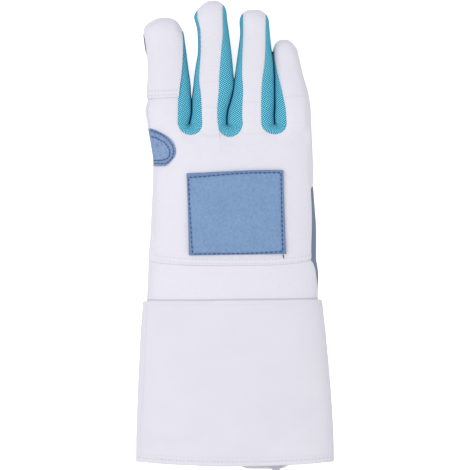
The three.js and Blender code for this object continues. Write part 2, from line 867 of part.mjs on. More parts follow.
const cuffSteps = [0, 0.012, 0.07, 0.16, 0.28, 0.42, 0.56, 0.7, 0.84, 0.95, 1];
const lobeMiddle = 22;
const lobeHalf = 17;
const foldRound = 0.9;
const foldReach = 0.1;

function cuffRow(at, wall) {
  const s = cuffSection(at);
  return Array.from({ length: aroundCuff }, (unused, j) => {
    const angle = (2 * Math.PI * (j + 0.5)) / aroundCuff;
    const inset = wall + (at === 0 && wall === 0 ? foldRound : 0);
    const [x, z] = sectionPoint(s, angle, inset);
    const half = cuffHemWidth / 2;
    const near = Math.max(0, 1 - (x / half) ** 2);
    const sag = hemSag * near * at ** 6;
    const lobe = angle > Math.PI ? underLobe * smooth(1.6 - Math.abs(x - lobeMiddle) / lobeHalf) : 0;
    return [x, cuffTopY - at * cuffLength - sag - lobe * at ** 6, z];
  });
}

function wallAt(at) {
  return at < foldReach ? foldWall : cuffWall;
}

const cuffOuter = cuffSteps.map((at) => cuffRow(at, 0));
const cuffInner = cuffSteps.map((at) => cuffRow(at, wallAt(at)));
piece("cuff", between(cuffOuter, cuffInner, always, true), colours.white);

// The small tab on the inner side of the cuff's under layer, sticking out of the hem
const tabPlace = 31.5;
const tab = new THREE.BoxGeometry(tabWidth, tabLength, tabThickness);
const tabEnd = cuffHemY - hemSag - tabStandOut;
tab.translate(tabPlace, tabEnd + tabLength / 2, cuffWall + seamGap + tabThickness / 2);
piece("cuff_tab", tab, colours.white);

// The thumb: a tube under the palm, cut where it meets the palm, and open into the hand
function thumbSection(at) {
  const row = (column) => read(thumbSections, at, column);
  const middle = thumbAxis + row("across") * thumbWidth;
  const half = (row("width") * thumbWidth) / 2;
  const flatten = Math.sqrt(Math.max(0.02, 1 - smooth((at - 0.8) / 0.2) ** 2));
  const mid = thumbThickness * thumbWidest;
  return {
    left: middle - half,
    right: middle + half,
    top: mid + (thumbThickness - mid) * flatten,
    bottom: Math.max(0, mid - mid * flatten * 1.1),
    mid,
  };
}

// A closed body through rows of points, capped at both ends.
function closedBody(rows) {
  const positions = [];
  const count = rows[0].length;
  const triangle = (a, b, c) => positions.push(...a, ...b, ...c);
  const middleOf = (row) => [0, 1, 2].map((k) => row.reduce((sum, p) => sum + p[k], 0) / count);
  for (let i = 0; i + 1 < rows.length; i++)
    for (let j = 0; j < count; j++) {
      const k = (j + 1) % count;
      triangle(rows[i][j], rows[i][k], rows[i + 1][k]);
      triangle(rows[i][j], rows[i + 1][k], rows[i + 1][j]);
    }
  const [first, last] = [rows[0], rows[rows.length - 1]];
  for (let j = 0; j < count; j++) {
    const k = (j + 1) % count;
    triangle(middleOf(first), first[k], first[j]);
    triangle(middleOf(last), last[j], last[k]);
  }
  const geometry = new THREE.BufferGeometry();
  geometry.setAttribute("position", new THREE.Float32BufferAttribute(positions, 3));
  return facingOut(mergeVertices(geometry, 1e-4));
}

const aroundThumb = 18;
const thumbSteps = [0, 0.12, 0.25, 0.4, 0.55, 0.7, 0.8, 0.88, 0.94, 0.98, 1];

function thumbBody(inset, startAfter, endBefore) {
  const rows = thumbSteps.map((at) => {
    const place = Math.min(Math.max(at * thumbLength, startAfter), thumbLength - endBefore);
    const s = thumbSection(place / thumbLength);
    return Array.from({ length: aroundThumb }, (unused, j) => {
      const angle = (2 * Math.PI * (j + 0.5)) / aroundThumb;
      const [x, z] = sectionPoint(s, angle, inset);
      return [x, thumbRootPlace * handLength + place, z];
    });
  });
  const apart = rows.filter((row, i) => i === 0 || row[0][1] - rows[i - 1][0][1] > 0.2);
  return toSolid(closedBody(apart));
}

// The outer form of the hand, a little larger, which the thumb keeps clear of. It starts and ends at
// shares of the hand's length.
const formStart = -0.2;
const formEnd = 0.92;
const formSteps = 14;
const aroundForm = 44;

function handForm(grow) {
  const rows = evenShares(formSteps).map((t) => {
    const s = bodySection(mix(formStart, formEnd, t) * handLength);
    return Array.from({ length: aroundForm }, (unused, j) => {
      const [x, z] = sectionPoint(s, (2 * Math.PI * (j + 0.5)) / aroundForm, -grow);
      return [x, s.y, z];
    });
  });
  return toSolid(closedBody(rows));
}

function slab(lower, upper) {
  const reach = 4 * palmWidth;
  const box = new THREE.BoxGeometry(reach, reach, upper - lower);
  box.translate(0, 0, (lower + upper) / 2);
  return toSolid(box);
}

const thumbHollow = thumbBody(thumbWall, thumbHollowStart, thumbWall);
const thumbShell = thumbBody(0, 0, 0).subtract(thumbHollow).subtract(handForm(2 * seamGap));
const thumbSplit = thumbThickness * thumbWidest;
const thumbLow = thumbShell.intersect(slab(-1, thumbSplit - seamGap / 2));
const thumbHigh = thumbShell.intersect(slab(thumbSplit + seamGap / 2, handHeight));
piece("thumb_back", toGeometry(thumbLow), colours.white);
piece("thumb_front", toGeometry(thumbHigh), colours.slate, 0.7);

const palmSheet = toSolid(sheet(palmGrid, palmKeep, palmWall));
piece("palm_panel", toGeometry(palmSheet.subtract(thumbHollow)), colours.slate, 0.7);

// The glove's own frame: the middle of its box, on the surface that it lies on
const box = new THREE.Box3().setFromObject(glove);
const middle = box.getCenter(new THREE.Vector3());
glove.position.set(-middle.x, -middle.y, -box.min.z);

export default glove;
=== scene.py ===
import math

import bpy
import numpy as np
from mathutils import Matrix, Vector


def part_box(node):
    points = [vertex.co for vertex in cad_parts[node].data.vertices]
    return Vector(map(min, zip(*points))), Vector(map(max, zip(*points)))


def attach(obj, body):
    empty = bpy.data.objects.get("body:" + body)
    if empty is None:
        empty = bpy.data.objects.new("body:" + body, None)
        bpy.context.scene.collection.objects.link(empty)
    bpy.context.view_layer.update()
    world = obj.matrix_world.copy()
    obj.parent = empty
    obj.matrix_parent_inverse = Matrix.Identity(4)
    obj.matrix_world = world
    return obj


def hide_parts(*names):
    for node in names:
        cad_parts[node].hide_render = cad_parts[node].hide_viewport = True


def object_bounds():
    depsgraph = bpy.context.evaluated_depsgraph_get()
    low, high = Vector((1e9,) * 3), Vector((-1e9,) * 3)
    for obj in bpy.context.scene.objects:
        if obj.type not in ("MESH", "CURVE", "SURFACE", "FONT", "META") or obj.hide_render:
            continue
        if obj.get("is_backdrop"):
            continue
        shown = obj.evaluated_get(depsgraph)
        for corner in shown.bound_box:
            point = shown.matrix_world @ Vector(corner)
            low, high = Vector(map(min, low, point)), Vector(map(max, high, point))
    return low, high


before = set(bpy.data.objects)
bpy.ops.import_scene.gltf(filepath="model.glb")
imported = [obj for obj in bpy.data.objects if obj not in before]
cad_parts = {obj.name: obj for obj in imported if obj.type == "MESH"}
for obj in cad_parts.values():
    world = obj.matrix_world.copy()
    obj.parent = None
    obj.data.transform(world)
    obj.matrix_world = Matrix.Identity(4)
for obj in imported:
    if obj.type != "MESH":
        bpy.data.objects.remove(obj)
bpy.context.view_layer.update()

MM = 0.001

# The camera looks straight down on the glove, as the photograph does, from far enough away that its
# sides stay upright. The photograph's square takes in 360.5 mm, and its middle lies a little past the
# glove's own middle.
photo_width = 360.5 * MM
photo_middle = 1.2 * MM
camera_height = 12.0
glove_top = 0.03
sensor_width = 36
camera_data = bpy.data.cameras.new("photo_camera")
camera_data.sensor_width = sensor_width
camera_data.lens = sensor_width * camera_height / photo_width
camera_data.clip_end = 20
camera = bpy.data.objects.new("photo_camera", camera_data)
bpy.context.scene.collection.objects.link(camera)
camera.location = (0, photo_middle, camera_height + glove_top)
bpy.context.scene.camera = camera

# The studio: a large soft panel above the upper left, a weaker one at the right, and a white room.
def soft_panel(name, place, size, watts):
    data = bpy.data.lights.new(name, "AREA")
    data.size = size
    data.energy = watts
    panel = bpy.data.objects.new(name, data)
    panel.location = place
    aim = Vector((0, 0, 0.02)) - Vector(place)
    panel.rotation_euler = aim.to_track_quat("-Z", "Y").to_euler()
    bpy.context.scene.collection.objects.link(panel)


soft_panel("key_panel", (-0.62, 0.12, 1.3), 0.9, 7.2)
soft_panel("fill_panel", (0.8, -0.3, 1.2), 1.0, 2.3)
room = bpy.data.worlds.new("white_room")
bpy.context.scene.world = room
room.use_nodes = True
room.node_tree.nodes["Background"].inputs["Color"].default_value = (1, 1, 1, 1)
room.node_tree.nodes["Background"].inputs["Strength"].default_value = 0.675
bpy.context.scene.view_settings.view_transform = "Standard"

# The floor: a plain white sheet of paper. The camera sees it glow a little, so that it stays white, but
# the glow hardly reaches the glove.
floor_size = 4
floor_drop = 0.3 * MM
floor_glow = 0.8


def new_material(name):
    """A new material, its tree of nodes and its shader."""
    material = bpy.data.materials.new(name)
    material.use_nodes = True
    return material, material.node_tree, material.node_tree.nodes["Principled BSDF"]


def feed(tree, socket, value):
    """Sets a socket to a number or a colour, or joins another node's output to it."""
    if isinstance(value, (int, float)):
        socket.default_value = value
    elif isinstance(value, tuple):
        socket.default_value = (*value, 1)
    else:
        tree.links.new(value, socket)


def set_up(tree, made, **values):
    """Feeds a node's sockets by name, where an underscore stands for a space."""
    for name, value in values.items():
        feed(tree, made.inputs[name.replace("_", " ")], value)
    return made


def node(tree, kind, **values):
    return set_up(tree, tree.nodes.new("ShaderNode" + kind), **values)


def maths(tree, kind, *values):
    made = node(tree, "Math")
    made.operation = kind
    for socket, value in zip(made.inputs, values):
        feed(tree, socket, value)
    return made.outputs[0]


bpy.ops.object.select_all(action="DESELECT")
bpy.ops.mesh.primitive_plane_add(size=floor_size, location=(0, 0, -floor_drop))
floor = bpy.context.object
floor.name = "floor"
paper, tree, shader = new_material("white_paper")
seen = node(tree, "LightPath").outputs["Is Camera Ray"]
set_up(
    tree, shader, Base_Color=(0.93, 0.93, 0.93), Roughness=0.9, Emission_Color=(1, 1, 1),
    Emission_Strength=maths(tree, "MULTIPLY", seen, floor_glow),
)
floor.data.materials.append(paper)
floor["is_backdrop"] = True

# The back of the hand: white synthetic leather over the hand and the four fingers, in one piece, with
# round-bottomed cuts between the fingers, a turned hem at the wrist, knuckle creases and faint quilting.
# It is laid over sections of the fingers, the hand and the wrist, which the pieces below it share.
def rows_of(names, *rows):
    return [dict(zip(names.split(), row)) for row in rows]


def finger(length, width, dome, tip, blunt, *rows):
    """A finger's sizes in millimetres, and its outline in shares of its length and width."""
    outline = rows_of("at left right left_seam right_seam", *rows)
    return dict(length=length, width=width, dome=dome, tip=tip, blunt=blunt, outline=outline)


fingers = [
    finger(
        80.4, 33.0, 0.84, 0.37, 1.8,
        (0, -0.033, 0, 0, 0.29),
        (0.125, -0.09, 0, 0, 0.285),
        (0.25, -0.01, 0, 0, 0.28),
        (0.33, 0.002, 0, 0, 0.265),
        (0.53, 0.025, 0.058, 0, 0.155),
        (0.72, -0.015, 0.118, 0, 0.08),
        (0.86, -0.06, 0.165, 0, 0.04),
    ),
    finger(
        94.9, 28.3, 0.86, 0.6, 1.9,
        (0, 0, 0, 0.265, 0.255),
        (0.235, 0.01, 0, 0.217, 0.365),
        (0.355, 0.045, 0, 0.13, 0.385),
        (0.45, 0.085, 0.02, 0.1, 0.345),
        (0.6, 0.155, 0.07, 0.062, 0.255),
        (0.74, 0.143, 0.13, 0.065, 0.15),
        (0.87, 0.037, 0.19, 0.08, 0.095),
    ),
    finger(
        88.0, 36.6, 0.87, 0.53, 2.4,
        (0, 0, 0, 0.285, 0.29),
        (0.22, 0, 0.01, 0.2, 0.28),
        (0.38, -0.012, 0.03, 0.157, 0.24),
        (0.505, 0.022, 0.045, 0.115, 0.18),
        (0.66, 0.07, 0.08, 0.077, 0.12),
        (0.8, 0.106, 0.11, 0.05, 0.085),
        (0.9, 0.085, 0.13, 0.073, 0.06),
    ),
    finger(
        65.0, 27.2, 0.82, 0.22, 1.9,
        (0, 0, 0, 0.265, 0),
        (0.165, 0, 0.015, 0.238, 0),
        (0.295, -0.012, 0.05, 0.19, 0),
        (0.41, -0.03, 0.11, 0.15, 0),
        (0.61, -0.062, 0.25, 0.055, 0),
        (0.78, -0.108, 0.335, 0.014, 0),
        (0.88, -0.122, 0.4, 0.014, 0),
    ),
]
finger_slope = rows_of(
    "at drop thick", (0, 0, 0.56), (0.2, 0.14, 0.55), (0.4, 0.36, 0.53), (0.6, 0.62, 0.51),
    (0.8, 0.89, 0.5), (1, 1, 0.5),
)
hand_length = 104.5
wrist_length = 30.7
wrist_width = 131.0
cuff_insert = 8.0
hand_height = 40.0
palm_arch = 14.0
lining_height = 3.1
knuckle_height = 36.0
finger_thick = 19.5
finger_gap = 0.9
palm_width = sum(f["width"] for f in fingers)
palm_axis = -1.7
palm_left = 0.517
palm_rise = 3.4
roundness = 2.4
pressed = 1.12
side_height = 0.45
end_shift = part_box("cuff")[1].y / MM + wrist_length

hand_sections = rows_of(
    "at left right top bottom right_seam",
    (0, -0.52, 0.513, 0.97, 0, 1),
    (0.2, -0.506, 0.513, 1, 0.05, 0.85),
    (0.4, -0.5, 0.503, 1.02, 0.45, 0.55),
    (0.525, -0.4937, 0.4952, 1.029, 0.765, 0.45),
    (0.55, -0.493, 0.494, 1.03, 0.82, 0),
    (0.7, -0.492, 0.494, 1.02, 0.96, 0),
    (0.85, -0.502, 0.489, 0.98, 1, 0),
    (1, -0.517, 0.483, 0.93, 1, 0),
)
wrist_sections = rows_of(
    "at left right top right_seam",
    (0.08, -0.5097, 0.4805, 0.966, 0.6),
    (0.35, -0.511, 0.489, 0.95, 0.4),
    (0.75, -0.516, 0.488, 0.965, 0),
    (1, -0.517, 0.487, 0.975, 0),
)


def soft_step(x):
    """Runs smoothly from 0 to 1 as x does."""
    t = np.clip(x, 0, 1)
    return t * t * (3 - 2 * t)


def mix(a, b, t):
    return a + (b - a) * t


def read(rows, at, column):
    """A value of a table between its rows, along a smooth curve that never overshoots."""
    if at <= rows[0]["at"]:
        return rows[0][column]
    if at >= rows[-1]["at"]:
        return rows[-1][column]
    i = next(k for k in range(len(rows) - 1) if at < rows[k + 1]["at"])
    a, b = rows[i], rows[i + 1]

    def slope(p, q):
        return (q[column] - p[column]) / (q["at"] - p["at"])

    here = slope(a, b)
    before = slope(rows[i - 1], a) if i > 0 else here
    after = slope(b, rows[i + 2]) if i + 2 < len(rows) else here
    start = 2 * before * here / (before + here) if before * here > 0 else 0
    end = 2 * after * here / (after + here) if after * here > 0 else 0
    step = b["at"] - a["at"]
    t = (at - a["at"]) / step
    value = a[column] * (1 + 2 * t) * (1 - t) ** 2 + b[column] * t * t * (3 - 2 * t)
    return value + step * (start * t * (1 - t) ** 2 - end * t * t * (1 - t))


def section_points(s, angles, inset=0.0):
    """Points of a section, as x and z, at angles counted from the right side over the top."""
    cos, sin = np.cos(angles), np.sin(angles)
    across = np.sign(cos) * np.abs(cos) ** (2 / roundness)
    up = np.sign(sin) * np.abs(sin) ** (2 / roundness)
    half = (s["right"] - s["left"]) / 2 - inset
    x = (s["left"] + s["right"]) / 2 + half * across
    low = s["bottom"] + inset
    above = s["mid"] + (s["top"] - inset - s["mid"]) * up
    below = np.maximum(low, s["mid"] + (s["mid"] - low) * pressed * up)
    return x, np.where(up >= 0, above, below)


def run_of(*columns):
    """How far along a row of points each one lies."""
    steps = np.sqrt(sum(np.diff(column) ** 2 for column in columns))
    return np.concatenate([[0], np.cumsum(steps)])


def arc(s, start, end, shares):
    """Points along a section between two angles, at the given shares of the way along it."""
    x, z = section_points(s, np.linspace(start, end, 241))
    length = run_of(x, z)
    wanted = np.asarray(shares) * length[-1]
    return np.interp(wanted, length, x), np.interp(wanted, length, z)


def boundary(index):
    """Where one finger ends and the next begins, across the hand."""
    return palm_axis - palm_left * palm_width + sum(f["width"] for f in fingers[:index])


ring_lean = 4.6
lean_length = 33.0


def lean(index, along):
    """How far the ring finger leans to the right of the hand's own line."""
    return ring_lean * soft_step(along / lean_length) if index == 2 else 0.0


tip_reach = 0.97
tip_pull = 0.8
root_axis = 0.56
tip_axis = 0.44


def finger_section(index, at, end):
    """A finger's section at a share of its length; end is how far it is round the fingertip."""
    f = fingers[index]
    along = at * f["length"]
    row = min(at, f["dome"])
    left = boundary(index) + lean(index, along) + read(f["outline"], row, "left") * f["width"]
    right = boundary(index + 1) + lean(index + 1, along) - read(f["outline"], row, "right") * f["width"]
    left += finger_gap / 2 if index > 0 else 0
    right -= finger_gap / 2 if index < 3 else 0
    narrow = (1 - (tip_reach * end) ** f["blunt"]) ** (1 / f["blunt"])
    tip_x = boundary(index) + f["tip"] * f["width"]
    middle = mix((left + right) / 2, tip_x, soft_step(end) * tip_pull)
    half = (right - left) / 2 * narrow
    start = knuckle_height - finger_thick * root_axis
    axis = mix(start, finger_thick * tip_axis, read(finger_slope, at, "drop"))
    thick = finger_thick * read(finger_slope, at, "thick") * math.sqrt(max(0, 1 - end**2))
    return dict(
        left=middle - half, right=middle + half, top=axis + thick,
        bottom=max(0.0, axis - thick), mid=axis, y=hand_length + along,
    )


def seam_inset(index, at, end, side, share=1.0):
    """How far a seam runs inside the finger's outline. It runs straight on where the tip rounds off."""
    f = fingers[index]
    row = min(at, f["dome"])
    inset = read(f["outline"], row, side) * f["width"] * share
    if end > 0:
        straight, rounded = finger_section(index, row, 0), finger_section(index, at, end)
        if side == "right_seam":
            inset -= straight["right"] - rounded["right"]
        else:
            inset -= rounded["left"] - straight["left"]
    return max(0.0, inset)


def seam_angle(index, at, end, side, share=1.0):
    inset = seam_inset(index, at, end, side, share)
    if inset == 0:
        return 0.0
    s = finger_section(index, at, end)
    half = (s["right"] - s["left"]) / 2
    return math.acos(max(0.0, 1 - inset / half) ** (roundness / 2))


def finger_arc(index, at, end, part, shares):
    """One of the four arcs of a finger's section, as an array of x, y, z."""
    s = finger_section(index, at, end)
    up_left = math.pi - seam_angle(index, at, end, "left_seam")
    up_right = seam_angle(index, at, end, "right_seam")
    low_left = math.pi + seam_angle(index, at, end, "left_seam", 0.5)
    low_right = 2 * math.pi - seam_angle(index, at, end, "right_seam", 0.5)
    start, stop = {
        "back": (up_left, up_right),
        "palm": (low_left, low_right),
        "left_side": (up_left, low_left),
        "right_side": (up_right, low_right - 2 * math.pi),
    }[part]
    x, z = arc(s, start, stop, shares)
    return np.stack([x, np.full_like(x, s["y"]), z], axis=1)


cut_depths = (0.91, 1.07, 0.83)


def root_round(index, share, turns):
    """The rounded bottom between two fingers at a share of the strip's width from the back's seam."""
    centre = boundary(index + 1)
    a = finger_arc(index, 0, 0, "right_side", [share])[0]
    b = finger_arc(index + 1, 0, 0, "left_side", [share])[0]
    t = np.asarray(turns)
    away = mix(centre - a[0], b[0] - centre, t)
    x = centre - away * np.cos(math.pi * t)
    y = hand_length - cut_depths[index] * away * np.sin(math.pi * t)
    return np.stack([x, y, mix(a[2], b[2], t)], axis=1)


across_finger = np.linspace(0, 1, 11)
across_cut = np.linspace(0, 1, 13)


def root_row(part):
    """The row where the hand goes over into the fingers, round the bottoms of the cuts."""
    share = 0.0 if part == "back" else 1.0
    pieces = []
    for i in range(4):
        points = finger_arc(i, 0, 0, part, across_finger)
        pieces.append(points if i == 0 else points[1:])
        if i < 3:
            pieces.append(root_round(i, share, across_cut)[1:])
    return np.concatenate(pieces)


def body_table():
    """The sections of the hand and the wrist in one table, in millimetres."""
    def section(r, at, axis, width, bottom):
        return dict(
            at=at, left=axis + r["left"] * width, right=axis + r["right"] * width,
            top=r["top"] * hand_height, bottom=bottom, right_seam=r["right_seam"] * palm_rise,
        )

    hand = [
        section(r, r["at"] * hand_length, palm_axis, palm_width, mix(lining_height, palm_arch, r["bottom"]))
        for r in hand_sections
    ]
    wrist = [section(r, -r["at"] * wrist_length, 0, wrist_width, lining_height) for r in wrist_sections]
    end = dict(wrist[-1], at=-wrist_length - cuff_insert)
    return [end] + wrist[::-1] + hand


body = body_table()


def body_section(y):
    s = {c: read(body, y, c) for c in ("left", "right", "top", "bottom", "right_seam")}
    s["mid"] = mix(s["bottom"], s["top"], side_height)
    return s


def body_row(y, part, shares):
    """A row of points over the back, or under the palm, of the hand or the wrist."""
    s = body_section(y)
    half = (s["right"] - s["left"]) / 2
    seam = math.acos((1 - s["right_seam"] / half) ** (roundness / 2)) if s["right_seam"] > 0 else 0.0
    end = seam if part == "back" else 2 * math.pi + seam
    x, z = arc(s, math.pi, end, shares)
    return np.stack([x, np.full_like(x, y), z], axis=1)


root_blend = 32.0
valley = 10.0
side_limit = 0.985
side_margin = 0.03
side_fade = 0.05
tip_limit = 0.9995
root_rows = {part: root_row(part) for part in ("back", "palm")}
part_shares, root_moves = {}, {}
for part, row in root_rows.items():
    length = run_of(row[:, 0], row[:, 2])
    part_shares[part] = length / length[-1]
    root_moves[part] = row - body_row(hand_length, part, part_shares[part])


def softened(values):
    """Values evened out with their 24 neighbours on either side."""
    weights = np.hanning(49)
    return np.convolve(np.pad(values, 24, mode="edge"), weights / weights.sum(), mode="valid")


def lies_at(x, y):
    """How high the upper side of the hand lies at a place."""
    s = body_section(y)
    half = (s["right"] - s["left"]) / 2
    across = min(side_limit, abs(x - (s["left"] + s["right"]) / 2) / half)
    return s["mid"] + (s["top"] - s["mid"]) * (1 - across**roundness) ** (1 / roundness)


soft_drops = softened(root_rows["back"][:, 2] - [lies_at(x, y) for x, y, z in root_rows["back"]])
inland = np.array([soft_step((min(t, 1 - t) - side_margin) / side_fade) for t in part_shares["back"]])


def hand_row(y, part):
    """A row over the hand that takes on the fingers' shape as it nears their roots."""
    row = body_row(y, part, part_shares[part])
    weight = soft_step((y - hand_length + root_blend) / root_blend)
    row = row + weight * root_moves[part]
    if part == "back" and weight > 0:
        level = np.array([lies_at(a, b) for a, b, c in row]) + weight * soft_drops
        steady = inland * (1 - soft_step((y - hand_length + valley) / valley))
        row[:, 2] = mix(row[:, 2], level, steady)
    return row


def finger_stations(index, straight=46):
    """Places along a finger, closer together round its tip, with the share of the rounded end."""
    dome = fingers[index]["dome"]
    low = [(at, 0.0) for at in np.linspace(0, dome, straight + 1)[:-1]]
    turn = np.sin(np.linspace(0, math.pi / 2, 15))
    return low + [(mix(dome, 1, t), min(t, tip_limit)) for t in turn]


def new_grid(name, rows):
    """A sheet through rows of points, started as a flat grid and moved into place."""
    rows = np.asarray(rows, dtype=float)
    m, n = rows.shape[0] - 1, rows.shape[1] - 1
    bpy.ops.object.select_all(action="DESELECT")
    bpy.ops.mesh.primitive_grid_add(x_subdivisions=n, y_subdivisions=m, size=1, calc_uvs=True)
    made = bpy.context.object
    made.name = name
    put_back(made, rows.reshape(-1, 3))
    return made


def joined(name, parts):
    """Several sheets sewn into one, with their shared edges welded."""
    bpy.ops.object.select_all(action="DESELECT")
    for part in parts:
        part.select_set(True)
    bpy.context.view_layer.objects.active = parts[0]
    if len(parts) > 1:
        bpy.ops.object.join()
    made = bpy.context.object
    made.name = name
    made.data.name = name
    bpy.ops.object.mode_set(mode="EDIT")
    bpy.ops.mesh.select_all(action="SELECT")
    bpy.ops.mesh.remove_doubles(threshold=0.02 * MM)
    bpy.ops.object.mode_set(mode="OBJECT")
    return made


def applied(piece, kind, **settings):
    """Gives one piece a modifier and applies it."""
    bpy.ops.object.select_all(action="DESELECT")
    piece.select_set(True)
    bpy.context.view_layer.objects.active = piece
    made = piece.modifiers.new("shaping", kind)
    for name, value in settings.items():
        setattr(made, name, value)
    bpy.ops.object.modifier_apply(modifier=made.name)


def rounded(piece):
    applied(piece, "SUBSURF", levels=1, render_levels=1)
    bpy.ops.object.shade_smooth()


def finish_sheet(piece, wall):
    """Gives a sheet its wall on the inner side and rounds its cut edges."""
    applied(piece, "SOLIDIFY", thickness=wall * MM, offset=-1, use_even_offset=False)
    rounded(piece)


photo_axis = 235
photo_hem = 260
photo_step = 0.767


def spot(px, py):
    """A place seen in the photograph, as x and y in millimetres on the glove."""
    return (px - photo_axis) * photo_step, (photo_hem - py) * photo_step


def spots(*pairs):
    return [spot(px, py) for px, py in pairs]


def surface_of(piece):
    """The piece's points in millimetres along the glove, and which way each one faces."""
    values = np.empty((2, len(piece.data.vertices) * 3), dtype=np.float32)
    piece.data.vertices.foreach_get("co", values[0])
    piece.data.vertices.foreach_get("normal", values[1])
    points = values[0].reshape(-1, 3).astype(float) / MM
    points[:, 1] -= end_shift
    return points, values[1].reshape(-1, 3).astype(float)


def put_back(piece, points):
    moved = points * MM
    moved[:, 1] += end_shift * MM
    piece.data.vertices.foreach_set("co", moved.astype(np.float32).ravel())
    piece.data.update()


def off_path(points, path):
    """How far points lie from a drawn path, seen from above."""
    nearest = np.full(len(points), 1e9)
    for a, b in zip(path[:-1], path[1:]):
        a, b = np.array(a), np.array(b)
        run = b - a
        t = np.clip((points[:, :2] - a) @ run / (run @ run), 0, 1)
        nearest = np.minimum(nearest, np.hypot(*(points[:, :2] - a - t[:, None] * run).T))
    return nearest


def upper_side(facing, fade=0.3):
    """1 where a piece faces up, fading out where it turns down at its sides."""
    return soft_step(facing[:, 2] / fade)


def near_path(points, path, width):
    """1 on a drawn path, fading out over the given width."""
    return np.exp(-((off_path(points, path) / width) ** 2))


def mark_points(piece, name, values):
    """Keeps a value for each point in a named attribute, which the materials read."""
    layer = piece.data.attributes.get(name) or piece.data.attributes.new(name, "FLOAT", "POINT")
    old = np.empty(len(values), dtype=np.float32)
    layer.data.foreach_get("value", old)
    layer.data.foreach_set("value", np.maximum(old, values).astype(np.float32))


def crease(piece, lines, side=1):
    """Presses lines into a piece and marks the shade painted along them in an attribute named seam."""
    points, facing = surface_of(piece)
    outer = upper_side(facing * side)
    seam = np.zeros(len(points))
    push = np.zeros(len(points))
    for path, width, depth, mark in lines:
        weight = near_path(points, path, width) * outer
        push -= depth * weight
        seam = np.maximum(seam, mark * weight)
    put_back(piece, points + facing * push[:, None])
    mark_points(piece, "seam", seam)


def mark_of(tree, name):
    made = node(tree, "Attribute")
    made.attribute_name = name
    return made.outputs["Fac"]


def place_on(tree):
    return node(tree, "TexCoord").outputs["Object"]


def bumped(tree, height, distance):
    return node(tree, "Bump", Height=height, Distance=distance).outputs["Normal"]


def blended(tree, amount, first, second):
    """One colour over another, as much as the amount says."""
    made = node(tree, "Mix")
    made.data_type = "RGBA"
    for k, value in ((0, amount), (6, first), (7, second)):
        feed(tree, made.inputs[k], value)
    return made.outputs[2]


def leather_grain():
    """Pores and small wrinkles of leather: a tone for its colour and a bumped normal."""
    group = bpy.data.node_groups.new("leather_grain", "ShaderNodeTree")
    for label in ("Size", "Depth"):
        group.interface.new_socket(label, in_out="INPUT", socket_type="NodeSocketFloat")
    for label, kind in (("Tone", "Float"), ("Normal", "Vector")):
        group.interface.new_socket(label, in_out="OUTPUT", socket_type="NodeSocket" + kind)
    given = group.nodes.new("NodeGroupInput").outputs
    place = place_on(group)
    cloud = node(group, "TexNoise", Vector=place, Scale=45, Detail=5, Roughness=0.6)
    fleck = node(group, "TexNoise", Vector=place, Scale=520, Detail=2)
    tone = maths(group, "MULTIPLY_ADD", cloud.outputs["Fac"], 0.45, -0.225)
    tone = maths(group, "ADD", tone, fleck.outputs["Fac"])
    pores = node(group, "TexVoronoi", Vector=place, Scale=given["Size"])
    pores.feature = "DISTANCE_TO_EDGE"
    wrinkle_scale = maths(group, "MULTIPLY", given["Size"], 1.7)
    wrinkles = node(group, "TexNoise", Vector=place, Scale=wrinkle_scale, Detail=3)
    skin = maths(group, "MULTIPLY_ADD", wrinkles.outputs["Fac"], 0.6, pores.outputs["Distance"])
    set_up(
        group, group.nodes.new("NodeGroupOutput"), Tone=tone,
        Normal=bumped(group, skin, given["Depth"]),
    )
    return group


grain = leather_grain()


def leather(name, light, dark, painted_shade, size, depth, roughness):
    """Leather of one dye: a light and a dark tone, its grain, and painted shade where a seam is marked."""
    material, tree, shader = new_material(name)
    skin = tree.nodes.new("ShaderNodeGroup")
    skin.node_tree = grain
    set_up(tree, skin, Size=size, Depth=depth)
    tone = skin.outputs["Tone"]
    # Where the seam attribute is marked, the colour goes over to a darker one: painted shade in creases,
    # seams and gaps.
    set_up(
        tree, shader,
        Base_Color=blended(tree, mark_of(tree, "seam"), blended(tree, tone, light, dark), painted_shade),
        Normal=skin.outputs["Normal"],
        Roughness=maths(tree, "MULTIPLY_ADD", tone, 0.16, roughness - 0.08),
        Specular_IOR_Level=0.35,
        Sheen_Weight=0.08,
    )
    return material


white_leather = leather(
    "white_leather", light=(0.805, 0.792, 0.862), dark=(0.755, 0.745, 0.828), painted_shade=(0.50, 0.50, 0.60),
    size=900, depth=0.00008, roughness=0.6,
)

# One stitch of thread, bent down at both ends. Every row of stitches on the glove is made of its copies.
bpy.ops.object.select_all(action="DESELECT")
bpy.ops.mesh.primitive_uv_sphere_add(segments=6, ring_count=5, radius=0.5)
one_stitch = bpy.context.object
one_stitch.name = "one_stitch"
one_stitch.rotation_euler = (0, math.pi / 2, 0)
bpy.ops.object.transform_apply(location=False, rotation=True, scale=False)
for corner in one_stitch.data.vertices:
    corner.co.x = math.copysign(abs(2 * corner.co.x) ** 0.6, corner.co.x) / 2
    corner.co.z -= 1.3 * corner.co.x**2
bpy.ops.object.shade_smooth()
least_upright = 0.15


def along(path, every):
    """Places along a drawn path, evenly apart, each with the direction of the path there."""
    path = np.array(path, dtype=float)
    length = run_of(*path.T)
    run = np.diff(length)
    count = max(2, int(round(length[-1] / every)))
    for k in range(count):
        here = (k + 0.5) * length[-1] / count
        i = max(min(int(np.searchsorted(length, here)), len(run)) - 1, 0)
        step = path[i + 1] - path[i]
        yield path[i] + (here - length[i]) / run[i] * step, step / run[i]


def foot_of(hosts, x, y):
    """Where a stitch's end meets the uppermost of the pieces that carry it, or None."""
    origin = Vector((x * MM, (y + end_shift) * MM, 0.2))
    hits = [hit for hit in (host.ray_cast(origin, (0, 0, -1)) for host in hosts) if hit[0]]
    return max(hits, key=lambda hit: hit[1].z) if hits else None


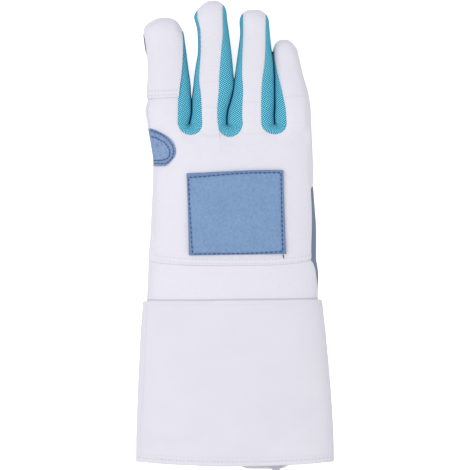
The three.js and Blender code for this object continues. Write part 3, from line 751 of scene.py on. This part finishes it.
def sewn(name, hosts, paths, dash, gap, thick, thread, sink=0.1):
    """Rows of stitches laid on the pieces that carry them, all in one piece of thread."""
    bpy.context.view_layer.update()
    stitches = []
    wobble = np.random.default_rng(len(name) * 7 + len(paths))
    pattern = np.empty(len(one_stitch.data.vertices) * 3, dtype=np.float32)
    one_stitch.data.vertices.foreach_get("co", pattern)
    for path in paths:
        for (x, y), (run_x, run_y) in along(path, dash + gap):
            feet = [foot_of(hosts, x + s * dash * run_x, y + s * dash * run_y) for s in (-0.5, 0.5)]
            if None in feet:
                continue
            span = feet[1][1] - feet[0][1]
            up = (feet[0][2] + feet[1][2]).normalized()
            if span.length > 3 * dash * MM or up.z < least_upright:
                continue
            side = up.cross(span).normalized()
            up = span.cross(side).normalized()
            forward = (span.normalized() + wobble.uniform(-0.12, 0.12) * side).normalized()
            side = up.cross(forward).normalized()
            wide = thick * MM * wobble.uniform(0.88, 1.12)
            long = span.length * wobble.uniform(0.94, 1.06)
            place = (feet[0][1] + feet[1][1]) / 2 + up * (0.5 - sink) * thick * MM
            axes = np.array([forward * long, side * wide, up * wide])
            points = pattern.reshape(-1, 3) @ axes + np.array(place)
            mesh = one_stitch.data.copy()
            mesh.vertices.foreach_set("co", points.astype(np.float32).ravel())
            stitches.append(bpy.data.objects.new("stitch", mesh))
            bpy.context.scene.collection.objects.link(stitches[-1])
    bpy.ops.object.select_all(action="DESELECT")
    for stitch in stitches:
        stitch.select_set(True)
    bpy.context.view_layer.objects.active = stitches[0]
    bpy.ops.object.join()
    row = bpy.context.object
    row.name = name
    row.data.name = name
    row.data.materials.append(thread)
    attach(row, "root")


def thread_of(name, colour):
    """Sewing thread: two plies that show as fine slanting stripes."""
    material, tree, shader = new_material(name)
    plies = node(tree, "TexWave", Vector=place_on(tree), Scale=900, Distortion=1.5)
    plies.bands_direction = "DIAGONAL"
    shade = tuple(0.8 * c for c in colour)
    set_up(
        tree, shader, Base_Color=blended(tree, plies.outputs["Fac"], shade, colour),
        Normal=bumped(tree, plies.outputs["Fac"], 0.00005), Roughness=0.55,
    )
    return material


white_thread = thread_of("white_thread", (0.72, 0.715, 0.80))
hem_sag = 4.6
hem_band = 5.4
hem_pull = 0.25 * hand_length
hem_half = 0.52 * palm_width
back_wall = 2.0
back_cells = 64


def back_hem(share):
    """Where the lower edge of the back runs: lowest in its middle."""
    return -hem_sag * (1 - np.abs(2 * share - 1) ** 3)


hand_rows = []
for y in hand_length * np.arange(back_cells + 1) / back_cells:
    row = hand_row(y, "back")
    if y < hem_pull:
        pull = (1 - y / hem_pull) ** 2
        for j, share in enumerate(part_shares["back"]):
            row[j] = body_row(y + back_hem(share) * pull, "back", [share])[0]
    hand_rows.append(row)
sheets = [new_grid("hand", hand_rows)]
for i in range(4):
    rows = [finger_arc(i, at, end, "back", across_finger) for at, end in finger_stations(i)]
    sheets.append(new_grid("finger", rows))
back_sheet = joined("back_sheet", sheets)
finish_sheet(back_sheet, back_wall)

# The back's soft unevenness, its turned hem, and the lines pressed into it, with shade painted along them
points, facing = surface_of(back_sheet)
x, y = points[:, 0], points[:, 1]
billow = 0.35 * np.sin(x / 13 + 0.6) * np.sin(y / 17 + 1.1) + 0.22 * np.sin(x / 7.3 + y / 11)
billow *= soft_step((y - 5) / 12) * soft_step((0.86 * hand_length + 20 - y) / 25)
edge = -hem_sag * (1 - np.abs(np.clip((x - palm_axis) / hem_half, -1, 1)) ** 3)
turned = 0.3 * (1 - soft_step((y - edge - hem_band) / 1.6))
lift = (billow + turned) * upper_side(facing)
put_back(back_sheet, points + facing * lift[:, None])
hem_top = [
    (x, -hem_sag * (1 - abs((x - palm_axis) / hem_half) ** 3) + hem_band + 0.9)
    for x in np.linspace(-62, 58, 30)
]
# Each line is pressed in by its depth, and its mark paints shade along it; the strongest paints the shade
# under the bulge at the left side.
back_lines = [
    # path, width, depth, mark
    (hem_top, 0.7, 0.1, 0.05),
    (spots((201, 134.5), (210, 136), (220, 135)), 1.0, 0.22, 0.16),
    (spots((241, 133), (252, 134), (262, 133)), 1.0, 0.16, 0.12),
    (spots((202, 82), (219, 81.5)), 0.7, 0.12, 0.1),
    (spots((201, 107), (217, 107.5)), 0.8, 0.15, 0.12),
    (spots((243, 102), (261, 101.5)), 0.8, 0.15, 0.12),
    (spots((285, 97), (304, 95.5)), 0.8, 0.16, 0.14),
    (
        spots((296, 44), (300, 60), (304.5, 80), (306.5, 105), (307.5, 130), (309, 160), (310, 186)),
        0.7, 0.15, 0.12,
    ),
    (spots((155.5, 168), (155, 200), (154.5, 240)), 0.7, 0.16, 0.14),
    (spots((147.2, 103), (147.6, 115), (149, 127)), 0.7, 0.45, 0.4),
    (
        spots((200, 16), (201.5, 9), (206, 4.5), (211, 2.6), (217, 2.8), (220, 6.5), (222, 12)),
        0.6, 0.12, 0.14,
    ),
    (spots((244.5, 18), (245.5, 13), (250, 11.4), (257, 11.6), (261.5, 14), (264.5, 19)), 0.6, 0.12, 0.14),
    (
        spots((274.5, 52), (277, 46), (281, 42.6), (285, 41.6), (289, 42.8), (292.8, 47), (295.5, 54)),
        0.6, 0.12, 0.14,
    ),
]
crease(back_sheet, back_lines)
back_sheet.data.materials.append(white_leather)
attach(back_sheet, "root")
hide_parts("back_panel")
hem_stitches = [[(a, b - down) for a, b in hem_top] for down in (1.6, 4.6)]
sewn("back_hem_stitches", [back_sheet], hem_stitches, 1.5, 1.3, 0.42, white_thread)

# The palm: slate-blue leather under the hand and the fingers, in one piece. It comes up over the right
# side as a narrow strip, and shows as a thin line along the tip of the index finger.
palm_wall = 1.4
sliver_out = 2.7
sliver_down = 0.5
palm_dark = (0.15, 0.198, 0.32)
palm_leather = leather(
    "palm_leather", light=(0.195, 0.245, 0.385), dark=palm_dark, painted_shade=tuple(0.62 * c for c in palm_dark),
    size=700, depth=0.00012, roughness=0.62,
)
palm_rows = [
    body_row(y, "palm", part_shares["palm"])
    for y in np.linspace(-wrist_length - cuff_insert, 0, 22)[:-1]
]
palm_rows += [hand_row(hand_length * k / 56, "palm") for k in range(57)]
sheets = [new_grid("palm_hand", [row[::-1] for row in palm_rows])]
for i in range(4):
    rows = [finger_arc(i, at, end, "palm", across_finger)[::-1] for at, end in finger_stations(i)]
    sheets.append(new_grid("palm_finger", rows))
palm_sheet = joined("palm_sheet", sheets)

# At the tip of the index finger the palm stands out a little past the white cap.
points, facing = surface_of(palm_sheet)
low_end, high_end = spot(0, 66)[1], spot(0, 27)[1]
shows = soft_step((points[:, 1] - low_end) / 14) * soft_step((high_end - points[:, 1]) / 3)
shows *= soft_step((-58 - points[:, 0]) / 5)
points[:, 0] -= sliver_out * shows
points[:, 2] -= sliver_down * shows
put_back(palm_sheet, points)
finish_sheet(palm_sheet, palm_wall)
# Creases of the palm, pressed in, with shade painted along them by their marks.
palm_lines = [
    # path, width, depth, mark
    (spots((160, 140), (200, 150), (260, 146), (300, 138)), 1.6, 0.9, 0.25),
    (spots((165, 175), (215, 182), (262, 215), (270, 245)), 1.6, 0.9, 0.25),
    (spots((190, 150), (205, 185), (202, 235)), 1.4, 0.8, 0.25),
    (spots((155, 78), (178, 78)), 1.2, 0.5, 0.2),
    (spots((200, 75), (228, 75)), 1.2, 0.5, 0.2),
    (spots((240, 75), (268, 75)), 1.2, 0.5, 0.2),
    (spots((280, 88), (302, 88)), 1.2, 0.5, 0.2),
]
crease(palm_sheet, palm_lines, side=-1)
palm_sheet.data.materials.append(palm_leather)
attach(palm_sheet, "root")
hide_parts("palm_panel")

# The strips between the fingers: turquoise stretch knit, one long strip for each gap, sewn round the
# rounded cut of the back. Its ribs run across the strip, so they fan out round the bottom of the cut.
rib_pitch = 1.55
loop_pitch = 1.5
rib_slant = -0.62
loop_slant = 0.42
# The loops' grooves and crests: painted shade and painted highlight, set by the height of the knit.
knit_groove_shade = (0.001, 0.09, 0.30)
knit_crest_highlight = (0.27, 0.93, 1.0)
knit_shade = (0.06, 0.42, 0.63)
# The shade in the slit between the strips, painted as a dark colour.
slit_shade = (0.009, 0.12, 0.26)


def waves(tree, value, pitch):
    """Runs from 0 to 1 and back over each pitch."""
    sine = maths(tree, "SINE", maths(tree, "MULTIPLY", value, 2 * math.pi / pitch))
    return maths(tree, "MULTIPLY_ADD", sine, 0.5, 0.5)


def stretch_knit():
    """Turquoise knit on a strip's own map: slanting ribs of small round loops, with a painted highlight on
    their crests and painted shade in their grooves.
    """
    material, tree, shader = new_material("stretch_knit")
    cloud = node(tree, "TexNoise", Vector=place_on(tree), Scale=130, Detail=2).outputs["Fac"]
    s, t = mark_of(tree, "along"), mark_of(tree, "across")
    slant = maths(tree, "MULTIPLY_ADD", t, rib_slant, s)
    rib = waves(tree, maths(tree, "ADD", slant, maths(tree, "MULTIPLY", cloud, 0.9)), rib_pitch)
    counter = maths(tree, "MULTIPLY_ADD", t, 1.0, maths(tree, "MULTIPLY", s, loop_slant))
    loop = waves(tree, counter, loop_pitch)
    height = maths(tree, "MULTIPLY", rib, maths(tree, "MULTIPLY_ADD", loop, 0.65, 0.35))
    crisp = node(tree, "MapRange")
    crisp.interpolation_type = "SMOOTHSTEP"
    set_up(tree, crisp, Value=height, From_Min=0.14, From_Max=0.56)
    middle = blended(tree, crisp.outputs["Result"], knit_groove_shade, knit_crest_highlight)
    mixed = blended(tree, 0.12, middle, blended(tree, cloud, middle, knit_shade))
    set_up(
        tree, shader, Base_Color=blended(tree, mark_of(tree, "seam"), mixed, slit_shade),
        Normal=bumped(tree, height, 0.0002), Roughness=0.85, Specular_IOR_Level=0,
    )
    return material


knit = stretch_knit()
slit_bends = [
    # how far the slit wanders sideways, in millimetres, from the bottom of the cut upwards
    rows_of("at shift", (-3, -2.2), (2, -1.2), (10, 0.1), (22, 0)),
    rows_of("at shift", (-4, 1.4), (0, -1.1), (10, -1.5), (18, -0.8), (30, 0)),
    rows_of("at shift", (-3, 0.2), (0, -0.8), (6, -1.4), (12, -1.0), (20, -0.7), (38, -0.2)),
]
slit_heights = (22, 34, 55)
slit_overlap = finger_gap / 2 + 0.14
gusset_nodes = ["fourchette_index_middle", "fourchette_middle_ring", "fourchette_ring_little"]
strip_wall = 1.2
strip_shares = np.linspace(0, 1, 25)
seam_lap = 1.3


def strip_side(index, seam, part):
    """The rows of a strip that run up along one finger, as far as its seam shows."""
    stations = [s for s in finger_stations(index, straight=78) if seam_inset(index, *s, seam) > 0.1]
    return [finger_arc(index, at, end, part, strip_shares) for at, end in stations]


for g in range(3):
    left = strip_side(g, "right_seam", "right_side")
    right = strip_side(g + 1, "left_seam", "left_side")
    around = [root_round(g, share, np.linspace(0, 1, 37)) for share in strip_shares]
    bottom = [np.stack([ring[k] for ring in around]) for k in range(35, 0, -1)]
    rows = np.array(right[::-1] + bottom + left)
    turn = np.repeat([-1.0, 0.0, 1.0], [len(right), len(bottom), len(left)])[:, None]

    # Up to where the fingers part, both sides of the strip touch at the slit.
    rise = rows[:, :, 1] - hand_length
    touch = slit_overlap * soft_step((strip_shares - 0.2) / 0.15)
    touch = touch * (1 - soft_step((rise - slit_heights[g] + 4) / 8))
    off = rows[:, :, :2] - [boundary(g + 1), hand_length]
    away = np.hypot(off[:, :, 0], off[:, :, 1])
    at_bottom = turn == 0
    rows[:, :, 0] += np.where(at_bottom, -off[:, :, 0] / away * touch, turn * touch)
    rows[:, :, 1] += np.where(at_bottom, -off[:, :, 1] / away * touch, 0)

    # The innermost point of each row lies on the slit, whose shade is painted in as a dark colour.
    innermost = np.where(at_bottom, away, -turn * rows[:, :, 0]).argmin(axis=1)
    at_slit = rows[np.arange(len(rows)), innermost]
    from_slit = np.hypot(*(rows[:, :, :2] - at_slit[:, None, :2]).transpose(2, 0, 1))
    past = np.arange(len(strip_shares)) >= innermost[:, None]
    slit_shade_amount = np.where(past, 1.0, 1 - soft_step((from_slit - 0.35) / 0.8))
    slit_shade_amount *= 1 - soft_step((rise - slit_heights[g] - 2) / 6)

    # The slit wanders a little, and the strip puffs up beside the seam.
    bend = np.array([[read(slit_bends[g], v, "shift") for v in row] for row in rise])
    rows[:, :, 0] += bend * soft_step(strip_shares / 0.42)
    rows[:, :, 2] += 0.5 * np.sin(np.clip(strip_shares / 0.4, 0, 1) * math.pi) * (rise < 60)
    rows[:, :, 2] -= 0.45 * (1 - soft_step(strip_shares / 0.05))

    # At the seam the strip laps under the edge of the back.
    outwards = rows[:, 0] - rows[:, 1]
    outwards[:, 2] = 0
    outwards /= np.maximum(1e-6, np.hypot(outwards[:, 0], outwards[:, 1]))[:, None]
    under = rows[:, 0] + seam_lap * outwards - [0, 0, 0.5]
    rows = np.concatenate([under[:, None], rows], axis=1)
    slit_shade_amount = np.concatenate([slit_shade_amount[:, :1] * 0, slit_shade_amount], axis=1)

    strip = new_grid("knit_strip_" + "abc"[g], rows)
    mark_points(strip, "along", np.repeat(run_of(*rows[:, 1].T), rows.shape[1]))
    mark_points(strip, "across", np.concatenate([run_of(*row.T) for row in rows]))
    mark_points(strip, "seam", slit_shade_amount.ravel())
    finish_sheet(strip, strip_wall)
    strip.data.materials.append(knit)
    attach(strip, "root")
    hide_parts(gusset_nodes[g])

# The cap over the tip of the index finger: a second layer of the white leather, sewn down along its
# lower edge with two rows of stitches.
cap_start = 0.2456
cap_lift = 0.5
cap_wall = 1.0
cap_shares = np.linspace(0, 1, 25)
first = finger_arc(0, cap_start, 0, "back", cap_shares)
first[:, 1] += np.linspace(-1.1, 0.5, 25)
stations = [station for station in finger_stations(0) if station[0] >= cap_start]
cap_rows = [first] + [finger_arc(0, at, end, "back", cap_shares) for at, end in stations[1:]]
cap = new_grid("index_cap_sheet", cap_rows)
points, facing = surface_of(cap)
points += facing * (cap_lift + cap_wall)

# The corners of its tip are drawn in a little: the left one in and up, the right one in.
tip_left = soft_step((-50 - points[:, 0]) / 12) * np.exp(-(((points[:, 1] - spot(0, 27)[1]) / 4.5) ** 2))
points[:, 0] -= 1.9 * tip_left
points[:, 1] += 0.8 * tip_left
tip_right = soft_step((points[:, 0] + 46) / 6) * np.exp(-(((points[:, 1] - spot(0, 26)[1]) / 6.5) ** 2))
points[:, 0] -= 1.5 * tip_right
put_back(cap, points)
finish_sheet(cap, cap_wall)
cap_rim = spots(
    (145.5, 34), (147, 28), (152, 24.2), (158, 21.2), (164, 19.8), (170, 21), (175, 25.5), (179, 32)
)
# The stitch rows and the rim are pressed in, with shade painted along them by their marks.
cap_lines = [
    # path, width, depth, mark
    (spots((147, 95.8), (162, 95.2), (177, 94.6)), 0.8, 0.14, 0.1),
    (spots((147, 91), (162, 90.6), (177, 90.2)), 0.8, 0.14, 0.1),
    (cap_rim, 0.6, 0.12, 0.14),
]
crease(cap, cap_lines)
cap.data.materials.append(white_leather)
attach(cap, "root")
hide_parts("index_cap")
cap_stitches = [
    spots((146.6, 95.8), (162, 95.2), (178, 94.6)),
    spots((146.6, 91), (162, 90.6), (178, 90.2)),
]
sewn("cap_stitches", [cap], cap_stitches, 1.5, 1.1, 0.5, white_thread)

# The pad on the back of the hand: periwinkle-blue leather over thin foam, cut nearly square, and sewn
# down all round with one row of dark blue thread a little inside its edge.
pad_leather = leather(
    "pad_leather", light=(0.245, 0.39, 0.63), dark=(0.140, 0.232, 0.42), painted_shade=(0.105, 0.165, 0.335),
    size=1100, depth=0.00006, roughness=0.68,
)
dark_blue_thread = thread_of("dark_blue_thread", (0.035, 0.075, 0.24))
pad_corners = spots((186.6, 173.2), (283.1, 170), (286, 254), (188.9, 255.4))
pad_seams = [
    spots((188.6, 177.6), (207.5, 176.2), (230, 174), (255, 172.8), (281, 172.6)),
    spots((281, 172.6), (281.5, 202.5), (282.4, 240), (283, 251.4)),
    spots((283, 251.4), (267.5, 252.6), (242.5, 253.5), (217.5, 253.8), (193, 254)),
    spots((192.6, 254), (191, 227.5), (189.4, 202.5), (188.6, 177.6)),
]
pad_thread_rows = pad_seams + [spots((283.1, 255.2), (283.7, 258.0))]
pad_cells = 56
pad_bow = 1.0
pad_bulge = 0.5
pad_lift = 0.55
foam_thick = 2.2
foam_crown = 0.9

top_left, top_right, low_right, low_left = (np.array(c) for c in pad_corners)
pad_places = []
for v in np.linspace(0, 1, pad_cells + 1):
    row = []
    for u in np.linspace(0, 1, pad_cells + 1):
        x, y = (1 - v) * ((1 - u) * low_left + u * low_right) + v * ((1 - u) * top_left + u * top_right)
        y += pad_bow * v * math.sin(math.pi * u) * u
        x -= pad_bulge * math.sin(math.pi * v) * (u - 0.5)
        row.append((x, y, lies_at(x, y) + pad_lift))
    pad_places.append(row)
pad = new_grid("back_pad_cushion", pad_places)
applied(pad, "SOLIDIFY", thickness=foam_thick * MM, offset=1)
rounded(pad)

# Inside the stitches the foam crowns up; the thread pulls it down, with small puckers between stitches.
points, facing = surface_of(pad)
x, y = points[:, 0], points[:, 1]
top = upper_side(facing, 0.4)
pulled = np.min([off_path(points, path) for path in pad_seams], axis=0)
top_seam, right_seam, low_seam, left_seam = (np.array(path) for path in pad_seams)
inside = (y < np.interp(x, *top_seam.T)) & (y > np.interp(x, *low_seam[::-1].T))
inside &= (x > np.interp(y, *left_seam.T[::-1])) & (x < np.interp(y, *right_seam[::-1].T[::-1]))
crown = foam_crown * (1 - np.exp(-pulled / 6)) * inside
soft_lumps = 0.12 * np.sin(x / 6.1 + 0.4) * np.sin(y / 7.7) * inside
lift = (crown + soft_lumps - 0.5 * np.exp(-((pulled / 0.9) ** 2))) * top
put_back(pad, points + facing * lift[:, None])
# The colour is darker along the stitches, as painted shade where the thread pulls the foam down, and darker
# on the rim outside them.
mark_points(pad, "seam", np.maximum(0.5 * np.exp(-((pulled / 0.7) ** 2)), ~inside * 0.45) * top)
pad.data.materials.append(pad_leather)
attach(pad, "root")
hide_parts("back_pad")
sewn("pad_stitches", [pad, back_sheet], pad_thread_rows, 2.5, 1.1, 0.75, dark_blue_thread)

# The patch at the root of the thumb: the same blue leather, a half round that wraps round the left side
# of the hand, with two rows of dark blue stitches that follow its edge.
patch_leather = leather(
    "patch_leather", light=(0.32, 0.46, 0.72), dark=(0.118, 0.185, 0.35), painted_shade=(0.085, 0.13, 0.27),
    size=700, depth=0.00014, roughness=0.66,
)
patch_edge = spots(
    (149.8, 128.2), (156.1, 129.8), (161.7, 132.6), (167.2, 135.9), (171.7, 139.8), (174.4, 143.8),
    (175.8, 148), (176.2, 152), (175.3, 156.4), (171.7, 160.9), (168.3, 164.6), (164.5, 166.2),
)
outer_row = spots(
    (150.5, 130.4), (156.1, 132.4), (161.7, 134.6), (165.6, 137.5), (169.4, 141), (172.6, 145.6),
    (173.9, 151), (172.8, 156.3), (170.4, 160), (166.8, 163.2), (161.1, 163.8), (154, 163.4),
)
inner_row = spots(
    (151.2, 136.6), (156.1, 137.8), (160.6, 140.2), (164.4, 142.4), (168, 146.4), (170, 151),
    (169.8, 155.4), (167.8, 158.4), (163.9, 160), (160, 160.4), (153.6, 160.6),
)
patch_start = 4.0
patch_wall = 1.1
edge_x, edge_y = np.array(patch_edge).T
patch_rows = []
for y in np.linspace(patch_edge[0][1] - 0.2, patch_edge[-1][1], 45):
    row = hand_row(y, "back")
    ran = run_of(*row.T)
    reach = np.interp(np.interp(-y, -edge_y, edge_x), row[:, 0], ran)
    wanted = mix(patch_start, reach, np.linspace(0, 1, 27))
    patch_rows.append(np.stack([np.interp(wanted, ran, column) for column in row.T], axis=1))
patch = new_grid("web_patch_sheet", patch_rows[::-1])
points, facing = surface_of(patch)
lift = 0.7 + 0.7 * soft_step((points[:, 0] - spot(153, 0)[0]) / 6)
put_back(patch, points + facing * lift[:, None])
finish_sheet(patch, patch_wall)
# The stitch rows are pressed in with shade painted along them, and the colour is a little darker over a wider
# band round the outer row.
crease(patch, [(outer_row, 0.7, 0.35, 0.5), (inner_row, 0.7, 0.4, 0.5), (outer_row, 2.4, 0, 0.2)])
patch.data.materials.append(patch_leather)
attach(patch, "root")
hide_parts("web_patch")
sewn("patch_stitches", [patch], [outer_row, inner_row], 1.7, 0.8, 0.7, dark_blue_thread)

# The wrist: a band of the white leather between the back's hem and the cuff, a little lower than the
# hem that laps over it, with a seam near its left end.
band_wall = 1.7
band_drop = 0.9
band_rows = []
for t in np.arange(31) / 30:
    row = []
    for share in part_shares["back"]:
        y = mix(-wrist_length - cuff_insert, float(back_hem(share)) + 0.6, t)
        row.append(body_row(y, "back", [share])[0])
    band_rows.append(row)
band = new_grid("wrist_band_sheet", band_rows)
points, facing = surface_of(band)
points[:, 2] -= band_drop * soft_step((points[:, 1] + 12) / 9) * upper_side(facing, 0.6)
put_back(band, points)
finish_sheet(band, band_wall)
points, facing = surface_of(band)
folds = 0.3 * np.sin(points[:, 0] / 19 + 0.8) * np.sin((points[:, 1] + 31) / 10)
put_back(band, points + facing * (folds * upper_side(facing, 0.4))[:, None])
band_seam = spots((154.3, 262), (152.6, 278), (150.4, 299))
cuff_gap_shadow = spots((143, 299.8), (200, 300), (240, 299.3), (323, 298.3))
# The seam is pressed in with shade painted along it; along the cuff's folded edge a dark line paints the
# shadow of the gap under it.
crease(band, [(band_seam, 0.7, 0.12, 0.1), (cuff_gap_shadow, 0.38, 0.08, 0.9)])
band.data.materials.append(white_leather)
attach(band, "root")
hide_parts("wrist_band")
band_stitches = spots((151.9, 262), (150.4, 278), (148.4, 298))
sewn("band_stitches", [band], [band_stitches], 1.6, 1.2, 0.4, white_thread)

# The cuff: a long flared tube of matt white cloth. Its upper edge is folded over and stands a little
# proud of the wrist, its hem is turned in and sewn, and the cloth has a few soft dents from lying.
def woven_cloth(name, light, dark, painted_shade, threads, depth, roughness):
    """Close plain-woven cloth: crossing threads too fine to count, a soft mottle, and painted shade where a
    seam is marked.
    """
    material, tree, shader = new_material(name)
    place = place_on(tree)
    cloud = node(tree, "TexNoise", Vector=place, Scale=28, Detail=4)
    heights = []
    for direction in ("X", "Y"):
        wave = node(tree, "TexWave", Vector=place, Scale=threads, Distortion=1.2, Detail_Scale=2.0)
        wave.bands_direction = direction
        heights.append(wave.outputs["Fac"])
    weave = maths(tree, "MULTIPLY", *heights)
    tone = maths(tree, "MULTIPLY_ADD", weave, -0.35, cloud.outputs["Fac"])
    set_up(
        tree, shader,
        Base_Color=blended(tree, mark_of(tree, "seam"), blended(tree, tone, light, dark), painted_shade),
        Normal=bumped(tree, weave, depth), Roughness=roughness, Specular_IOR_Level=0.25, Sheen_Weight=0.12,
    )
    return material


cuff_cloth = woven_cloth(
    "cuff_cloth", light=(0.81, 0.798, 0.872), dark=(0.755, 0.745, 0.825), painted_shade=(0.44, 0.43, 0.44),
    threads=620, depth=0.00008, roughness=0.85,
)
cuff_length = 124.2
cuff_hem_width = 152.6
cuff_hem_height = 34.0
cuff_stand = 3.1
cuff_wall = 2.2
hem_bow = 3.5
cuff_sections = rows_of(
    "at spread fall", (0, 0, 0), (0.08, 0.12, 0), (0.24, 0.35, 0.18), (0.4, 0.55, 0.42),
    (0.56, 0.73, 0.66), (0.72, 0.87, 0.84), (0.88, 0.97, 0.96), (1, 1, 1),
)
around_cuff = 112


def cuff_ring(at, inset=0.0):
    """A ring of the cuff at a share of its length. The hem hangs lowest in its middle, with a small lobe."""
    spread, fall = read(cuff_sections, at, "spread"), read(cuff_sections, at, "fall")
    wrist = body_section(-wrist_length)
    s = dict(
        left=mix(wrist["left"] - cuff_stand, -cuff_hem_width / 2, spread),
        right=mix(wrist["right"] + cuff_stand, cuff_hem_width / 2, spread),
        top=mix(wrist["top"] + cuff_stand, cuff_hem_height, fall),
        bottom=0.0,
        mid=mix(wrist["mid"], cuff_hem_height * side_height, fall),
    )
    fine = np.linspace(0, 2 * math.pi, 721)
    x, z = section_points(s, fine, inset)
    length = run_of(x, z)
    wanted = np.linspace(0, 1, around_cuff + 1) * length[-1]
    x, z, turn = (np.interp(wanted, length, v) for v in (x, z, fine))
    bow = hem_bow * np.maximum(0, 1 - (x / (cuff_hem_width / 2)) ** 2)
    lobe = (2.0 + x / 36) * soft_step((19.5 - np.abs(x - 22.6)) / 6) * (turn > math.pi)
    y = -wrist_length - at * cuff_length - (bow + lobe) * at**6 + 0.009 * x * (1 - at) ** 4
    return np.stack([x, y, z], axis=1)


# The rows run from inside the folded edge, over it, and down to the hem. Each has its share of the cuff's
# length and how far it lies inside the outer face.
fold = [(0.055, 3.4), (0.03, 3.2), (0.012, 3.0), (0.003, 2.4), (0.0, 1.5), (0.002, 0.7), (0.008, 0.15)]
sleeve = [(at, 0.0) for at in (0.018, 0.026, *np.linspace(0.036, 0.985, 62), 0.992)]
hem = [(0.998, 0.25), (1.0, 0.9), (0.998, 1.7), (0.99, 2.1), (0.96, cuff_wall), (0.9, cuff_wall)]
lining = [(at, 2.3) for at in np.linspace(0.86, 0.09, 22)] + [(0.06, 3.3)]
rings = [cuff_ring(at, inset) for at, inset in fold + sleeve + hem + lining]
cuff = joined("cuff_sleeve", [new_grid("cuff_sleeve", rings)])
rounded(cuff)

# Dents and billows of the upper layer, soft enough to show only as shading
points, facing = surface_of(cuff)
x, y = points[:, 0], points[:, 1]
shape = 0.5 * np.sin(x / 24 + 1.3) * np.sin((y + 31) / 21) + 0.3 * np.sin(x / 11 - y / 17)
shape *= soft_step((-y - 40) / 15)
dents = [
    # path, width, depth
    (spots((150, 441), (172, 446), (196, 443)), 4.0, 0.55),
    (spots((276, 443), (300, 428), (321, 409)), 5.5, 0.65),
    (spots((262, 452), (292, 447), (318, 447)), 5.0, 0.35),
    (spots((215, 345), (255, 352)), 9.0, 0.5),
    (spots((150, 432), (190, 436)), 5.0, -0.5),
]
for path, width, depth in dents:
    shape -= depth * near_path(points, path, width)
put_back(cuff, points + facing * (shape * upper_side(facing, 0.25))[:, None])
hem_line = [
    (x, -wrist_length - cuff_length - hem_bow * (1 - (x / 76.3) ** 2) + 6.2) for x in np.linspace(-75, 75, 30)
]
# The lines are pressed in with shade painted along them; the last, with no depth, paints shade over the
# cuff's right side.
cuff_lines = [
    # path, width, depth, mark
    (spots((144, 305.5), (200, 305), (260, 304.2), (323, 303.6)), 0.6, 0.08, 0.05),
    (hem_line, 0.6, 0.14, 0.1),
    (spots((146.6, 308), (145.4, 345), (143.2, 390), (140.8, 430), (139.6, 458)), 0.7, 0.14, 0.12),
    (spots((326, 306), (331, 372), (335, 440)), 7.0, 0, 0.05),
]
crease(cuff, cuff_lines)
cuff.data.materials.append(cuff_cloth)
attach(cuff, "root")
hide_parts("cuff")
hem_stitches = [(a, b - 2.6) for a, b in hem_line]
sewn("cuff_hem_stitches", [cuff], [hem_stitches], 1.6, 1.3, 0.62, white_thread)

# The tab: a short strip of the cuff's cloth, folded double and caught in the under side of the hem.
tab_cuts = 7
tab_edge = 0.35 * MM
low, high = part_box("cuff_tab")
bpy.ops.object.select_all(action="DESELECT")
bpy.ops.mesh.primitive_cube_add(size=1, location=(low + high) / 2)
tab = bpy.context.object
tab.name = "hem_tab"
tab.scale = high - low
bpy.ops.object.transform_apply(location=True, rotation=False, scale=True)
bpy.ops.object.mode_set(mode="EDIT")
bpy.ops.mesh.select_all(action="SELECT")
bpy.ops.mesh.subdivide(number_cuts=tab_cuts)
bpy.ops.object.mode_set(mode="OBJECT")
points, facing = surface_of(tab)
middle_x = (low.x + high.x) / 2 / MM
points[:, 2] += 0.25 * np.sin(points[:, 1] / 2.4) * np.cos((points[:, 0] - middle_x) / 3)
put_back(tab, points)
applied(tab, "BEVEL", width=tab_edge, segments=2, limit_method="ANGLE")
bpy.ops.object.shade_smooth_by_angle(angle=math.radians(40))
tab.data.materials.append(cuff_cloth)
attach(tab, "root")
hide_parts("cuff_tab")

# The thumb, folded under the palm: a short tube, white on its back, which lies on the table, and slate
# leather on the side that touches the palm.
thumb_sections = rows_of(
    "at across width", (0, -0.34, 0.98), (0.15, -0.3, 1), (0.4, -0.16, 0.96), (0.65, 0, 0.9),
    (0.82, 0.1, 0.84), (0.92, 0.16, 0.66), (0.98, 0.19, 0.38), (1, 0.2, 0.16),
)
thumb_length, thumb_width, thumb_thick = 64.0, 29.0, 13.2
thumb_axis = -32
thumb_root = 0.17 * hand_length
thumb_mid = 0.47 * thumb_thick
thumb_tip_start = 0.8
thumb_closing = 0.16
thumb_wall = 1.5


def thumb_half(name, start, stop):
    """One half of the thumb, rounded off at its tip and drawn in where it is sewn to the palm."""
    root_end = -thumb_closing * np.cos(np.linspace(0.12, math.pi / 2, 9))[:-1]
    tip_end = thumb_tip_start + 0.2 * np.sin(np.linspace(0.1, math.pi / 2, 14))
    rows = []
    for at in np.concatenate([root_end, np.linspace(0, thumb_tip_start, 28), tip_end]):
        middle = thumb_axis + read(thumb_sections, at, "across") * thumb_width
        closing = math.sqrt(1 - (min(at, 0) / thumb_closing) ** 2)
        half = read(thumb_sections, at, "width") * thumb_width / 2 * closing
        flat = math.sqrt(max(0.02, 1 - soft_step((at - thumb_tip_start) / 0.2) ** 2)) * closing
        s = dict(
            left=middle - half, right=middle + half, mid=thumb_mid,
            top=thumb_mid + (thumb_thick - thumb_mid) * flat,
            bottom=max(0.0, thumb_mid - thumb_mid * flat * 1.1),
        )
        x, z = arc(s, start, stop, np.linspace(0, 1, 31))
        y = np.full_like(x, thumb_root + at * thumb_length)
        ceiling = body_section(y[0])["bottom"] - 0.5
        rows.append(np.stack([x, y, np.minimum(z, max(ceiling, thumb_mid * 0.3))], axis=1))
    half_piece = new_grid(name, rows)
    finish_sheet(half_piece, thumb_wall)
    return half_piece


thumb_low = thumb_half("thumb_back_sheet", 2 * math.pi, math.pi)
thumb_low.data.materials.append(white_leather)
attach(thumb_low, "root")
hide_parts("thumb_back")
thumb_high = thumb_half("thumb_front_sheet", math.pi, 0)
thumb_high.data.materials.append(palm_leather)
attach(thumb_high, "root")
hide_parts("thumb_front")

# The pattern stitch has served, and is put away.
bpy.data.objects.remove(one_stitch)

low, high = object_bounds()
